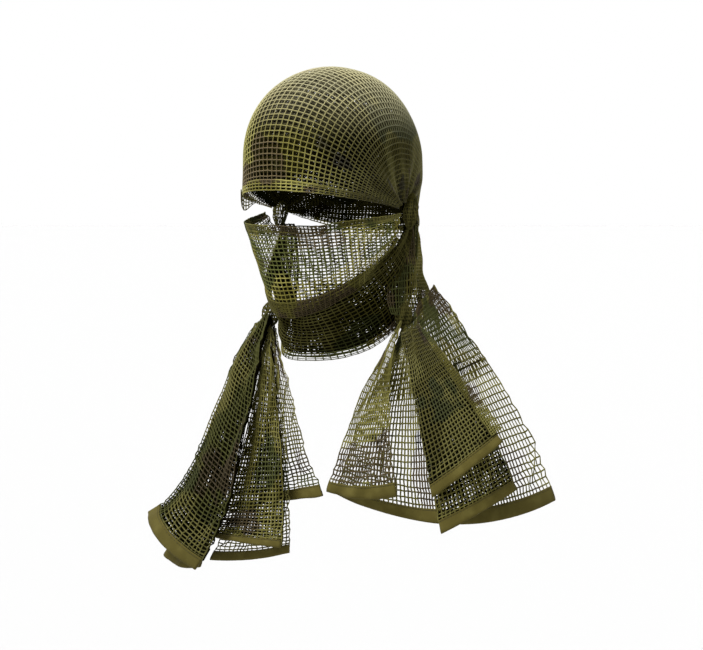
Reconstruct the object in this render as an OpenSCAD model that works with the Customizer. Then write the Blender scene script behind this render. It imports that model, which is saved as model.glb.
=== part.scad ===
// Camouflage net scarf worn as a head cap, face veil and neck wrap with two hanging ends.
// One knitted net panel is wrapped round the head; every stretch of it between two folds is a
// node of its own, and so is every stretch of the woven tape that binds its short ends.
// Millimetres. The origin is the centre of the head between the ears, +Z is up, the wearer
// faces -Y and the wearer's left is +X.

/* [Cloth] */
// Thickness of one lay of net
net_thick = 2.2; // [1.6:0.1:2.4]
// Thickness of a folded net edge, two or three lays pressed together
fold_thick = 3.6; // [2.8:0.2:4]
// Height of the woven tape that binds the short ends
hem_height = 12.5; // [10:0.5:14]
// Thickness of the bound end, tape, net and tape
hem_thick = 3.2; // [2.6:0.2:3.6]

/* [Cap] */
// Half width of the cap over the ears
cap_half_width = 81; // [79:1:83]
// Half depth of the cap from brow to back
cap_half_depth = 99; // [97:1:101]
// Height of the dome above its widest level
dome_height = 91; // [88:1:94]
// Level at which the dome starts, above the ear line
dome_level = 45; // [40:1:48]
// Gap between the outer and the inner lay of the cap
lay_gap = 1; // [0.6:0.1:1.6]
// Angle of the brow edge above the ear axis, seen from the side
brow_angle = 14; // [12:1:18]
// Angle of the cap's lower edge at the back
nape_angle = 196; // [190:1:200]

/* [Veil] */
// How far the veil stands forward of the head centre over the nose
veil_front = 105; // [102:1:108]
// Level of the veil's top edge over the nose, below the ear line
veil_top_drop = 23; // [20:1:26]
// Level of the veil's lower fold under the chin
chin_drop = 108; // [105:1:110]

/* [Neck] */
// Radius of the opening for the neck
neck_radius = 58; // [56:0.5:59]
// Height of the inner turn round the neck
neck_height = 45; // [40:1:48]
// Distance of the neck axis behind the head centre
neck_back = 35; // [34:1:36]

/* [Tails] */
// Radius of the tuck where a hanging end leaves the neck wrap
tuck_radius = 10.5; // [9:0.5:11]

/* [Build] */
// Node to draw, or all of them

/* [Hidden] */

NET = [0.40, 0.40, 0.20];
FOLD = [0.33, 0.34, 0.16];
TAPE = [0.36, 0.35, 0.15];
ear = [0, 15, -7];
ear_reach = 82;
left_pivot = [80, 16, -113];
right_pivot = [-80, 4, -112];

// A cubic through four points, at t = 0, 1/3, 2/3 and 1
function through(p, t) =
    p[0] * (1 - 3 * t) * (2 - 3 * t) * (1 - t) / 2
    + p[1] * 9 * t * (2 - 3 * t) * (1 - t) / 2
    + p[2] * 9 * t * (3 * t - 1) * (1 - t) / 2
    + p[3] * t * (3 * t - 1) * (3 * t - 2) / 2;

function mix(a, b, t) = a + (b - a) * t;
function unit(v) = v / norm(v);
function arch(u) = 4 * u * (1 - u);

// Normal of the surface f at (u, v)
function face_normal(f, u, v, e = 0.004) =
    unit(cross(f(u + e, v) - f(u - e, v), f(u, v + e) - f(u, v - e)));

// A closed solid of even thickness on both sides of the surface f over the range u by v
module sheet(f, thick, u = [0, 1], v = [0, 1], across = 12, down = 14) {
    cols = across + 1;
    layer = cols * (down + 1);
    function at(i, j, side) =
        let (uu = mix(u[0], u[1], i / across), vv = mix(v[0], v[1], j / down))
        f(uu, vv) + face_normal(f, uu, vv) * side * thick / 2;
    points = [for (side = [1, -1]) for (j = [0:down]) for (i = [0:across]) at(i, j, side)];
    function id(i, j, side) = side * layer + j * cols + i;
    faces = concat(
        [for (j = [0:down - 1]) for (i = [0:across - 1]) for (k = [0, 1])
            k == 0 ? [id(i, j, 0), id(i, j + 1, 0), id(i + 1, j + 1, 0)]
                   : [id(i, j, 0), id(i + 1, j + 1, 0), id(i + 1, j, 0)]],
        [for (j = [0:down - 1]) for (i = [0:across - 1]) for (k = [0, 1])
            k == 0 ? [id(i, j, 1), id(i + 1, j + 1, 1), id(i, j + 1, 1)]
                   : [id(i, j, 1), id(i + 1, j, 1), id(i + 1, j + 1, 1)]],
        [for (i = [0:across - 1]) for (k = [0, 1])
            k == 0 ? [id(i, 0, 0), id(i + 1, 0, 0), id(i + 1, 0, 1)]
                   : [id(i, 0, 0), id(i + 1, 0, 1), id(i, 0, 1)]],
        [for (i = [0:across - 1]) for (k = [0, 1])
            k == 0 ? [id(i, down, 0), id(i + 1, down, 1), id(i + 1, down, 0)]
                   : [id(i, down, 0), id(i, down, 1), id(i + 1, down, 1)]],
        [for (j = [0:down - 1]) for (k = [0, 1])
            k == 0 ? [id(0, j, 0), id(0, j + 1, 1), id(0, j + 1, 0)]
                   : [id(0, j, 0), id(0, j, 1), id(0, j + 1, 1)]],
        [for (j = [0:down - 1]) for (k = [0, 1])
            k == 0 ? [id(across, j, 0), id(across, j + 1, 0), id(across, j + 1, 1)]
                   : [id(across, j, 0), id(across, j + 1, 1), id(across, j, 1)]]);
    polyhedron(points = points, faces = faces, convexity = 8);
}

// Distance from the ear centre to the cap's surface along the direction d; inset moves the
// surface inwards. The cap is an upright elliptic cylinder with half an ellipsoid on top.
function cap_reach(d, inset) =
    let (a = cap_half_width - inset, b = cap_half_depth - inset, c = dome_height - inset,
         flat_a = max(1e-9, pow(d.x / a, 2) + pow(d.y / b, 2)),
         flat_b = ear.y * d.y / pow(b, 2),
         flat_c = pow(ear.y / b, 2) - 1,
         side = (-flat_b + sqrt(pow(flat_b, 2) - flat_a * flat_c)) / flat_a,
         rise = ear.z - dome_level,
         full_a = flat_a + pow(d.z / c, 2),
         full_b = flat_b + rise * d.z / pow(c, 2),
         full_c = flat_c + pow(rise / c, 2))
    ear.z + side * d.z <= dome_level ? side
        : (-full_b + sqrt(pow(full_b, 2) - full_a * full_c)) / full_a;

// Cap surface: along is the angle from ear to ear, up is the angle round the ear axis
function cap_point(along, up, inset) =
    let (d = [sin(along), -cos(along) * cos(up), cos(along) * sin(up)])
    ear + d * cap_reach(d, inset);

// A ring level round the neck or nape: angle from the front, centre distance, half axes
function ring_point(angle, back, a, b, z) = [a * sin(angle), back - b * cos(angle), z];

// One row of the veil, from the right ear round the face to the left ear
function veil_point(u, v) =
    let (angle = mix(-84, 84, u),
         bend = pow(cos(angle), 1.5),
         half = mix(86, 72, v),
         back = mix(6, 15, v))
    [half * sin(angle),
     mix(back, -mix(veil_front, 70, v), bend),
     mix(mix(-9, -30, v), -mix(veil_top_drop, chin_drop, v), cos(angle))];

// The loose outer turn round the neck, hanging lower at the front than at the sides
function neck_point(u, v) =
    let (angle = mix(-98, 98, u),
         front = pow(max(0, cos(angle)), 0.8),
         side = pow(abs(sin(angle)), 3))
    ring_point(angle, mix(25, 35, v), mix(65.5, 67, v), mix(78, 73, v),
        mix(-95 + 38 * side, -119 - 35 * front, v));

// The lay that falls from the back of the cap over the nape to the shoulders
function nape_point(u, v) =
    let (angle = mix(100, 260, u), flare = pow(v, 2))
    ring_point(angle, mix(12, 40, v), mix(81, 79, v) + 6 * flare, mix(88, 72, v) + 6 * flare,
        mix(-36, -116, v));

// The two ends crossing behind the neck on their way to the front
function crossing_point(u, v) =
    let (angle = mix(112, 248, u))
    ring_point(angle, 38, 71, 66, mix(-84, -122, v) - 6 * sin(angle * 2) * v);

// A hanging lay between two edges; it bows out towards face and its lower edge sags
function hang_point(u, v, from, to, face, bow, sag) =
    mix(through(from, v), through(to, v), u)
    + face * bow * arch(u) * pow(max(0, v), 0.8)
    - [0, 0, sag * arch(u) * pow(v, 2)];

// The lay from the ear down to the side of the neck, front edge and back edge
cheek_edges = [[[73, 27, -24], [67.5, 13, -54], [66.5, 4, -80], [69, 2, -96]],
               [[80, 21, -22], [79, 24, -48], [78.5, 30, -76], [77, 34, -96]]];

// Edges of the hanging lays, each from the tuck down to the bound end
outer_edges = [[[-84, 2, -112], [-84, -58, -172], [-102, -84, -248], [-166, -88, -309]],
               [[-78, -5, -114], [-44, -86, -200], [-48, -106, -290], [-88, -106, -367]]];
back_edges = [[[-86, 12, -114], [-88, -38, -172], [-108, -64, -262], [-157, -70, -357]],
              [[-81, 8, -119], [-60, -54, -186], [-72, -84, -280], [-104, -84, -365]]];
middle_edges = [[[-78, -3, -118], [-34, -72, -205], [-42, -92, -290], [-64, -94, -342]],
                [[-75, -5, -122], [-12, -69, -205], [10, -84, -285], [14, -88, -349]]];
return_edges = [[[-77, -1, -122], [-40, -59, -206], [-38, -78, -290], [-52, -80, -360]],
                [[-73, -3, -126], [-12, -59, -206], [4, -72, -285], [3, -75, -347]]];
inner_edges = [[[-80, 8, -124], [-44, -45, -188], [-36, -62, -250], [-38, -66, -296]],
               [[-76, 6, -130], [-10, -50, -190], [12, -56, -240], [38, -60, -289]]];
chest_edges = [[[77, 8, -117], [66, -36, -168], [58, -70, -230], [51, -80, -285]],
               [[83, 8, -118], [104, -36, -168], [124, -62, -225], [139, -70, -286]]];
shoulder_edges = [[[79, 17, -117], [70, -24, -170], [60, -58, -232], [52, -68, -288]],
                  [[93, 42, -84], [124, 57, -134], [182, 68, -212], [221, 78, -297]]];
middle_flap_edges = [[[94, 3, -131], [129, -24, -185], [156, -42, -255], [175, -46, -326]],
                     [[107, 13, -124], [162, -6, -165], [197, 2, -225], [223, 8, -281]]];
front_flap_edges = [[[95, -8, -128], [128, -36, -178], [156, -54, -232], [172, -57, -286]],
                    [[109, 2, -119], [163, -26, -155], [196, -20, -195], [224, -14, -232]]];

// Facing directions of the lays, level and outward
right_face = unit([-0.3, -0.95, 0]);
inner_face = unit([0.1, -0.99, 0]);
left_face = unit([0.7, -0.72, 0]);
chest_face = unit([0.25, -0.97, 0]);

right_outer = function (u, v)
    hang_point(u, v, outer_edges[0], outer_edges[1], right_face, 12, 4);
right_back = function (u, v)
    hang_point(u, v, back_edges[0], back_edges[1], right_face, 3, 4);
right_middle = function (u, v)
    hang_point(u, v, middle_edges[0], middle_edges[1], inner_face, 6, 0);
right_return = function (u, v)
    hang_point(u, v, return_edges[0], return_edges[1], inner_face, 3, 3);
right_inner = function (u, v)
    hang_point(u, v, inner_edges[0], inner_edges[1], inner_face, 0, 2);
left_chest = function (u, v)
    hang_point(u, v, chest_edges[0], chest_edges[1], chest_face, 6, 7);
left_shoulder = function (u, v)
    hang_point(u, v, shoulder_edges[0], shoulder_edges[1], left_face, 48, 36);
middle_flap = function (u, v)
    hang_point(u, v, middle_flap_edges[0], middle_flap_edges[1], left_face, 12, 0);
front_flap = function (u, v)
    hang_point(u, v, front_flap_edges[0], front_flap_edges[1], left_face, 10, 0);

// Where a lay of the given length ends and its bound end begins
function hem_start(length) = 1 - hem_height / length;
// The hem grips the last of the net by a few millimetres
function hem_grip(length) = hem_start(length) - 3 / length;

module lay(f, length, across = 9, down = 11) {
    sheet(f, net_thick, v = [0, hem_start(length)], across = across, down = down);
}

module hem(f, length, across = 9) {
    sheet(f, hem_thick, u = [-0.004, 1.004], v = [hem_grip(length), 1], across = across,
        down = 2);
}

// A bunch of gathered net, a barrel shape standing at the point at and leaning by tilt
module bunch(at, radius, height, tilt = [0, 0, 0]) {
    translate(at) rotate(tilt) rotate_extrude($fn = 48)
        intersection() {
            translate([0, -height / 2]) square([radius, height]);
            translate([-height * 0.9, 0]) circle(r = height * 0.9 + radius, $fn = 96);
        }
}

// ---- cap ----
module crown_outer_lay() {
    color(NET) sheet(function (u, v) cap_point(mix(-ear_reach, ear_reach, u),
        mix(nape_angle, brow_angle, v), 0), net_thick, across = 26, down = 26);
}

module crown_inner_lay() {
    color(NET) sheet(function (u, v) cap_point(mix(-ear_reach, ear_reach, u),
        mix(nape_angle - 4, brow_angle + 2, v), net_thick + lay_gap), net_thick,
        across = 22, down = 22);
}

module brow_band() {
    color(FOLD) sheet(function (u, v) cap_point(mix(-80, 80, u),
        mix(brow_angle - 0.6, brow_angle - 4, v), 0.5), fold_thick, across = 26, down = 2);
}

module right_temple_fold() {
    color(NET) sheet(function (u, v) cap_point(mix(-62, -36, u), mix(13, 5, v), -3.2)
        - [0, 0, 5 * v], net_thick, across = 6, down = 4);
}

module left_temple_gather() {
    color(FOLD) bunch([83, 23, -8], 9, 34, [8, 0, 0]);
}

module right_temple_gather() {
    color(FOLD) bunch([-83, 23, -8], 9, 34, [8, 0, 0]);
}

module left_cheek_lay() {
    color(NET) sheet(function (u, v) hang_point(u, v, cheek_edges[0], cheek_edges[1],
        [1, 0, 0], 2, 0), net_thick, across = 6, down = 8);
}

module right_cheek_lay() {
    color(NET) mirror([1, 0, 0]) left_cheek_lay();
}

module nape_drape() {
    color(NET) sheet(function (u, v) nape_point(u, v), net_thick, across = 18, down = 8);
}

module nape_crossing() {
    color(NET) sheet(function (u, v) crossing_point(u, v), fold_thick, across = 14, down = 5);
}

// ---- neck wrap ----
module neck_wrap_inner() {
    color(NET) translate([0, neck_back, -150]) rotate_extrude($fn = 128)
        translate([neck_radius, 0]) square([net_thick, neck_height]);
}

module neck_wrap_outer() {
    color(NET) sheet(function (u, v) neck_point(u, v), net_thick, v = [0.07, 0.9],
        across = 20, down = 8);
}

module neck_wrap_upper_fold() {
    color(FOLD) sheet(function (u, v) neck_point(u, v), fold_thick, v = [-0.08, 0.1],
        across = 20, down = 2);
}

module neck_wrap_selvedge() {
    color(FOLD) sheet(function (u, v) neck_point(u, v), fold_thick, v = [0.87, 1],
        across = 20, down = 2);
}

// ---- veil ----
module face_veil() {
    color(NET) sheet(function (u, v) veil_point(u, v), net_thick, v = [0.07, 0.94],
        across = 20, down = 12);
}

module veil_selvedge() {
    color(FOLD) sheet(function (u, v) veil_point(u, v), fold_thick, v = [0, 0.1],
        across = 20, down = 2);
}

module chin_fold() {
    color(FOLD) sheet(function (u, v) veil_point(u, v), fold_thick, v = [0.91, 1.04],
        across = 20, down = 2);
}

// ---- right hanging end ----
module right_tuck() {
    color(FOLD) bunch(right_pivot, tuck_radius, 26);
}

module right_tail_outer_lay() { color(NET) lay(right_outer, 240); }
module right_tail_outer_hem() { color(TAPE) hem(right_outer, 240); }
module right_tail_back_lay() { color(NET) lay(right_back, 260); }
module right_tail_back_hem() { color(TAPE) hem(right_back, 260); }
module right_tail_middle_lay() { color(NET) lay(right_middle, 250); }
module right_tail_middle_hem() { color(TAPE) hem(right_middle, 250); }
module right_tail_return_lay() { color(NET) lay(right_return, 250); }
module right_tail_return_hem() { color(TAPE) hem(right_return, 250); }
module right_tail_inner_lay() { color(NET) lay(right_inner, 200); }
module right_tail_inner_hem() { color(TAPE) hem(right_inner, 200); }

// ---- left hanging end ----
module left_tuck() {
    color(FOLD) bunch(left_pivot, tuck_radius, 26);
}

module left_tail_chest_lay() { color(NET) lay(left_chest, 195); }
module left_tail_chest_hem() { color(TAPE) hem(left_chest, 195); }
module left_tail_shoulder_lay() { color(NET) lay(left_shoulder, 240, across = 14); }
module left_tail_shoulder_hem() { color(TAPE) hem(left_shoulder, 240, across = 14); }
module left_middle_flap() { color(NET) lay(middle_flap, 230); }
module left_middle_flap_hem() { color(TAPE) hem(middle_flap, 230); }
module left_front_flap() { color(NET) lay(front_flap, 190); }
module left_front_flap_hem() { color(TAPE) hem(front_flap, 190); }

module left_front_flap_selvedge() {
    color(FOLD) sheet(front_flap, fold_thick, u = [0.94, 1.08],
        v = [0.05, hem_grip(190) - 0.01], across = 2, down = 11);
}

crown_outer_lay();
crown_inner_lay();
brow_band();
right_temple_fold();
left_temple_gather();
right_temple_gather();
left_cheek_lay();
right_cheek_lay();
nape_drape();
nape_crossing();
neck_wrap_inner();
neck_wrap_outer();
neck_wrap_upper_fold();
neck_wrap_selvedge();
face_veil();
veil_selvedge();
chin_fold();
right_tuck();
right_tail_outer_lay();
right_tail_outer_hem();
right_tail_back_lay();
right_tail_back_hem();
right_tail_middle_lay();
right_tail_middle_hem();
right_tail_return_lay();
right_tail_return_hem();
right_tail_inner_lay();
right_tail_inner_hem();
left_tuck();
left_tail_chest_lay();
left_tail_chest_hem();
left_tail_shoulder_lay();
left_tail_shoulder_hem();
left_middle_flap();
left_middle_flap_hem();
left_front_flap();
left_front_flap_hem();
left_front_flap_selvedge();
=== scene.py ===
"""Camouflage net scarf worn as a cap, a face veil and a neck wrap, with two hanging ends.

Every stretch of the knitted net between two folds is a piece of real strands. It starts as a
primitive grid that takes the shape of its lay, the hanging lays settle as cloth, and each edge
of the grid then becomes a strand. Woven tape with two rows of stitches binds the short ends.
All sizes are metres in the frame of the head: +Z up, the wearer faces -Y.
"""

import logging
import math
from dataclasses import dataclass, field, replace
from enum import Enum
from typing import Any, Callable, Sequence

import bpy
import numpy as np
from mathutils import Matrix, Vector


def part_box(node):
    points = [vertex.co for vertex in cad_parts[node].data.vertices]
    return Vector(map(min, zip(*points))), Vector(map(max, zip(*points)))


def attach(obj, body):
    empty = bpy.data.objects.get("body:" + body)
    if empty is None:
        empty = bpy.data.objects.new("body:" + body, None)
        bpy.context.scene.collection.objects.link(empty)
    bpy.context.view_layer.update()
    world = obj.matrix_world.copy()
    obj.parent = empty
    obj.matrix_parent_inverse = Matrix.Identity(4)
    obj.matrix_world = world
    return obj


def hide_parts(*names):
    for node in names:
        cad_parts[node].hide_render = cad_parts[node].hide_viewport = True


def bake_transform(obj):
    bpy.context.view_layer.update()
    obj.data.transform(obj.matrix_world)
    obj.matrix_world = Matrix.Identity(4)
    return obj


LOG = logging.getLogger("net_scarf")
MM = 0.001

# Names of the two maps, and the margin of the second one.
PRINT_MAP = "FlatCloth"
BAKE_MAP = "OFBake"
BAKE_MARGIN = 0.01

# Step at which a surface's slope is measured.
SLOPE_STEP = 0.004

# How far the net lies inside the outside of the frame's solid lays, and lays behind each other.
SKIN = 1.1 * MM
LAY_GAP = 2.2 * MM

# Angle from the front at which the rows of the cap and of the veil reach the ears.
EAR_ANGLE = 84

# How the hanging lays settle.
SETTLE_FRAMES = 12
SETTLE_REACH = 2 * MM
CLOTH = {
    "quality": 4,
    "mass": 0.05,
    "tension_stiffness": 12,
    "compression_stiffness": 12,
    "shear_stiffness": 3,
    "bending_stiffness": 0.05,
    "shrink_min": -0.05,
    "air_damping": 4,
}

Surface = Callable[[np.ndarray, np.ndarray], np.ndarray]
Point = tuple[float, float, float]


class Run(Enum):
    """Which way the scarf's long direction runs on a lay."""

    DOWN = "down"
    ACROSS = "across"


# ---------------------------------------------------------------- small maths


def mix(low: Any, high: Any, share: Any) -> Any:
    """Value at a share of the way from low to high."""
    return low + (high - low) * share


def smooth(low: float, high: float, value: np.ndarray) -> np.ndarray:
    """Smooth step of value between low and high.

    Args:
        low: Value where the step starts.
        high: Value where the step ends.
        value: Values to step.

    Returns:
        Numbers from 0 to 1.
    """
    t = np.clip((value - low) / (high - low), 0, 1)
    return t * t * (3 - 2 * t)


def rows_of(*columns: Any) -> np.ndarray:
    """Stacks x, y and z into rows of points.

    Args:
        columns: Three arrays or numbers.

    Returns:
        An array of shape (n, 3).
    """
    return np.stack(np.broadcast_arrays(*columns), axis=-1).astype(float)


def unit(vectors: np.ndarray) -> np.ndarray:
    """Vectors scaled to length one."""
    return vectors / np.maximum(np.linalg.norm(vectors, axis=-1, keepdims=True), 1e-9)


def through(points: Sequence[Point], t: np.ndarray) -> np.ndarray:
    """A cubic through four points, at t = 0, 1/3, 2/3 and 1.

    Args:
        points: The four points.
        t: Places along the cubic.

    Returns:
        Points, one row for each t.
    """
    p = [np.array(q, float) for q in points]
    t = np.asarray(t, float)[:, None]
    return (
        p[0] * (1 - 3 * t) * (2 - 3 * t) * (1 - t) / 2
        + p[1] * 9 * t * (2 - 3 * t) * (1 - t) / 2
        + p[2] * 9 * t * (3 * t - 1) * (1 - t) / 2
        + p[3] * t * (3 * t - 1) * (3 * t - 2) / 2
    )


def normals_of(surface: Surface, u: np.ndarray, v: np.ndarray) -> np.ndarray:
    """Unit normals of a surface.

    Args:
        surface: The surface.
        u: Places across it.
        v: Places down it.

    Returns:
        One normal for each place.
    """
    along_u = surface(u + SLOPE_STEP, v) - surface(u - SLOPE_STEP, v)
    along_v = surface(u, v + SLOPE_STEP) - surface(u, v - SLOPE_STEP)
    return unit(np.cross(along_u, along_v))


def ripple(u: np.ndarray, v: np.ndarray, seed: int) -> np.ndarray:
    """Slow uneven waves of height one, the same on each run.

    Args:
        u: Places across.
        v: Places down.
        seed: Which waves to draw.

    Returns:
        Heights from about -1 to 1.
    """
    draw = np.random.default_rng(seed)
    total = np.zeros_like(np.asarray(u, float))
    for _ in range(5):
        turns_u, turns_v = draw.uniform(0.6, 3.6, 2)
        phase = draw.uniform(0, math.tau)
        total = total + np.sin(math.tau * (turns_u * u + turns_v * v) + phase)
    return total / 3


def heading(azimuth: float, elevation: float) -> np.ndarray:
    """Direction from the object towards a place round it.

    Args:
        azimuth: Angle from the front towards the wearer's left, in degrees.
        elevation: Angle above the horizon.

    Returns:
        A unit vector.
    """
    a, e = math.radians(azimuth), math.radians(elevation)
    return np.array([math.sin(a) * math.cos(e), -math.cos(a) * math.cos(e), math.sin(e)])


# ---------------------------------------------------------------- meshes


def select_only(thing: bpy.types.Object) -> None:
    """Makes a thing the active and the only selected one."""
    bpy.ops.object.select_all(action="DESELECT")
    bpy.context.view_layer.objects.active = thing
    thing.select_set(True)


def new_piece(name: str, vertices: Sequence[Any], faces: Sequence[Any]) -> bpy.types.Object:
    """Makes a smooth piece and puts it in the scene.

    Args:
        name: Name of the piece.
        vertices: Its points.
        faces: Its faces, as indices of points.

    Returns:
        The piece.
    """
    mesh = bpy.data.meshes.new(name)
    mesh.from_pydata(vertices, [], faces)
    mesh.shade_smooth()
    piece = bpy.data.objects.new(name, mesh)
    bpy.context.scene.collection.objects.link(piece)
    return piece


def add_maps(mesh: bpy.types.Mesh, places: np.ndarray, offset: Sequence[float] = (0.0, 0.0)) -> None:
    """Maps a mesh in the flat cloth's metres, and over the unit square for baking.

    Args:
        mesh: The mesh.
        places: Flat place of each face corner, from the corner of the piece.
        offset: Where that corner lies on the flat scarf.
    """
    low, high = places.min(0), places.max(0)
    square = BAKE_MARGIN + (1 - 2 * BAKE_MARGIN) * (places - low) / (high - low)
    for name, uv in ((PRINT_MAP, places + np.array(offset)), (BAKE_MAP, square)):
        layer = mesh.uv_layers.new(name=name)
        layer.data.foreach_set("uv", uv.astype(np.float32).ravel())
    mesh.uv_layers.active = mesh.uv_layers[PRINT_MAP]


# ---------------------------------------------------------------- surfaces


@dataclass(frozen=True)
class Pleats:
    """Folds that run down a lay, close together at its gathered end.

    Attributes:
        count: Folds across the lay.
        top: Height of the folds at the top, in metres.
        bottom: Height of the folds at the bound end.
        bunch: How far the net crowds onto the sides of the folds, 0 to 1.
        seed: Which unevenness to draw.
    """

    count: float = 3
    top: float = 1.5 * MM
    bottom: float = 3 * MM
    bunch: float = 0.5
    seed: int = 1

    def crowd(self, u: np.ndarray) -> np.ndarray:
        """u with the net crowded onto the sides of the folds."""
        turn = math.tau * self.count
        return u + self.bunch * np.sin(turn * u + self.seed) / turn

    def height(self, u: np.ndarray, v: np.ndarray) -> np.ndarray:
        """Height of the folds above the lay.

        Args:
            u: Places across.
            v: Places down.

        Returns:
            Heights in metres.
        """
        drift = 0.25 * ripple(u * 0.4, v, self.seed)
        wave = np.sin(math.tau * (self.count * u + drift) + 2 * self.seed)
        swell = 0.35 * ripple(u, v, self.seed + 50)
        return (wave + swell) * mix(self.top, self.bottom, np.clip(v, 0, 1))


@dataclass(frozen=True)
class Hanging:
    """A lay that hangs between two edges, as in the frame's solids.

    Attributes:
        left: Four points down one edge, in millimetres.
        right: Four points down the other edge.
        face: Level direction that the lay faces.
        bow: How far the lay bows towards face, in millimetres.
        sag: How far the middle of its lower edge hangs below a straight line.
        pleats: Folds of the net.
        lift: Distance of this net in front of the lay's own surface, in metres.
        skew: How far the net leans across as it comes down, as a share of its width.
    """

    left: Sequence[Point]
    right: Sequence[Point]
    face: Point
    bow: float
    sag: float
    pleats: Pleats = Pleats()
    lift: float = 0.0
    skew: float = 0.0

    def plain(self, u: np.ndarray, v: np.ndarray) -> np.ndarray:
        """The lay without its folds."""
        u, v = np.broadcast_arrays(np.asarray(u, float), np.asarray(v, float))
        arch = 4 * u * (1 - u)
        face = unit(np.array(self.face, float))
        base = mix(through(self.left, v), through(self.right, v), u[:, None])
        bow = (self.bow * arch * np.maximum(v, 0) ** 0.8)[:, None] * face
        drop = rows_of(0, 0, self.sag * arch * v**2)
        return (base + bow - drop) * MM

    def __call__(self, u: np.ndarray, v: np.ndarray) -> np.ndarray:
        """Points of the folded lay.

        Args:
            u: Places across, 0 to 1.
            v: Places down, 0 to 1.

        Returns:
            Points in metres.
        """
        crowded = self.pleats.crowd(np.asarray(u, float)) + self.skew * (v - 0.5) * 4 * u * (1 - u)
        off = self.pleats.height(u, v) + self.lift
        out = normals_of(self.plain, crowded, v)
        out = out * np.sign(np.mean(out @ np.array(self.face, float)))
        return self.plain(crowded, v) + out * off[:, None]


@dataclass(frozen=True)
class Dome:
    """The cap: an upright elliptic cylinder with half an ellipsoid on top.

    Points lie on rays from the middle of the ear axis, so its rows meet at the ears.

    Attributes:
        half: Half width, half depth and dome height, in metres.
        level: Height at which the dome starts.
        ear: Middle of the ear axis.
        inset: How far this lay lies inside the outer one.
        reach: Angle from the middle to each ear end, in degrees.
        start: Angle round the ear axis at the back edge.
        end: Angle round the ear axis at the front edge.
        ridge: Height of the folds that fan up from the ears.
        seed: Which unevenness to draw.
        twist: Angle by which its rows lean, in degrees.
    """

    half: Point
    level: float
    ear: Point
    inset: float = 0.0
    reach: tuple[float, float] = (-EAR_ANGLE, EAR_ANGLE)
    start: float = 196.0
    end: float = 14.0
    ridge: float = 3.2 * MM
    seed: int = 3
    twist: float = 0.0

    def distance(self, ray: np.ndarray, inset: np.ndarray) -> np.ndarray:
        """How far along a ray the surface lies.

        Args:
            ray: Unit rays from the ear axis.
            inset: How far inside the outermost surface.

        Returns:
            Distances in metres.
        """
        a, b, c = (h - inset for h in self.half)
        ear_y, rise = self.ear[1], self.ear[2] - self.level
        x, y, z = ray.T
        flat_a = np.maximum(1e-9, (x / a) ** 2 + (y / b) ** 2)
        flat_b = ear_y * y / b**2
        flat_c = (ear_y / b) ** 2 - 1
        side = (-flat_b + np.sqrt(flat_b**2 - flat_a * flat_c)) / flat_a
        full_a = flat_a + (z / c) ** 2
        full_b = flat_b + rise * z / c**2
        full_c = flat_c + (rise / c) ** 2
        top = (-full_b + np.sqrt(full_b**2 - full_a * full_c)) / full_a
        return np.where(self.ear[2] + side * z <= self.level, side, top)

    def folds(self, along: np.ndarray, up: np.ndarray) -> np.ndarray:
        """Height of the folds that gather at the ears.

        Args:
            along: Angles from the middle towards the ears, in degrees.
            up: Angles round the ear axis, in degrees.

        Returns:
            Heights in metres.
        """
        near = smooth(34, 76, np.abs(along))
        fine = np.sin(np.radians(up) * 17 + 0.03 * along) * 0.45
        broad = np.sin(np.radians(up) * 7 + 1.3 + 0.02 * along)
        slack = 0.35 * ripple(along / 140, up / 170, self.seed)
        return self.ridge * (near * (fine + broad) * 0.62 + slack)

    def __call__(self, u: np.ndarray, v: np.ndarray) -> np.ndarray:
        """Points of the cap.

        Args:
            u: Places from the right ear to the left ear.
            v: Places from the back edge over the crown to the brow.

        Returns:
            Points in metres.
        """
        along = mix(self.reach[0], self.reach[1], np.asarray(u, float))
        up = mix(self.start, self.end, np.asarray(v, float))
        up = up + 1.1 * np.sin(np.radians(up) * 11) * smooth(40, 80, np.abs(along))
        middle = np.sin(math.pi * np.clip(v, 0, 1))
        up = up + self.twist * middle * along / EAR_ANGLE
        along = along + self.twist * middle * np.cos(np.radians(along))
        lam, phi = np.radians(along), np.radians(up)
        ray = rows_of(np.sin(lam), -np.cos(lam) * np.cos(phi), np.cos(lam) * np.sin(phi))
        fuller = smooth(0.72, 0.98, ray @ unit(np.array([0.45, 0.6, 0.75])))
        inset = self.inset - self.folds(along, up) - 2.4 * MM * fuller
        return np.array(self.ear) + ray * self.distance(ray, inset)[:, None]


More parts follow.
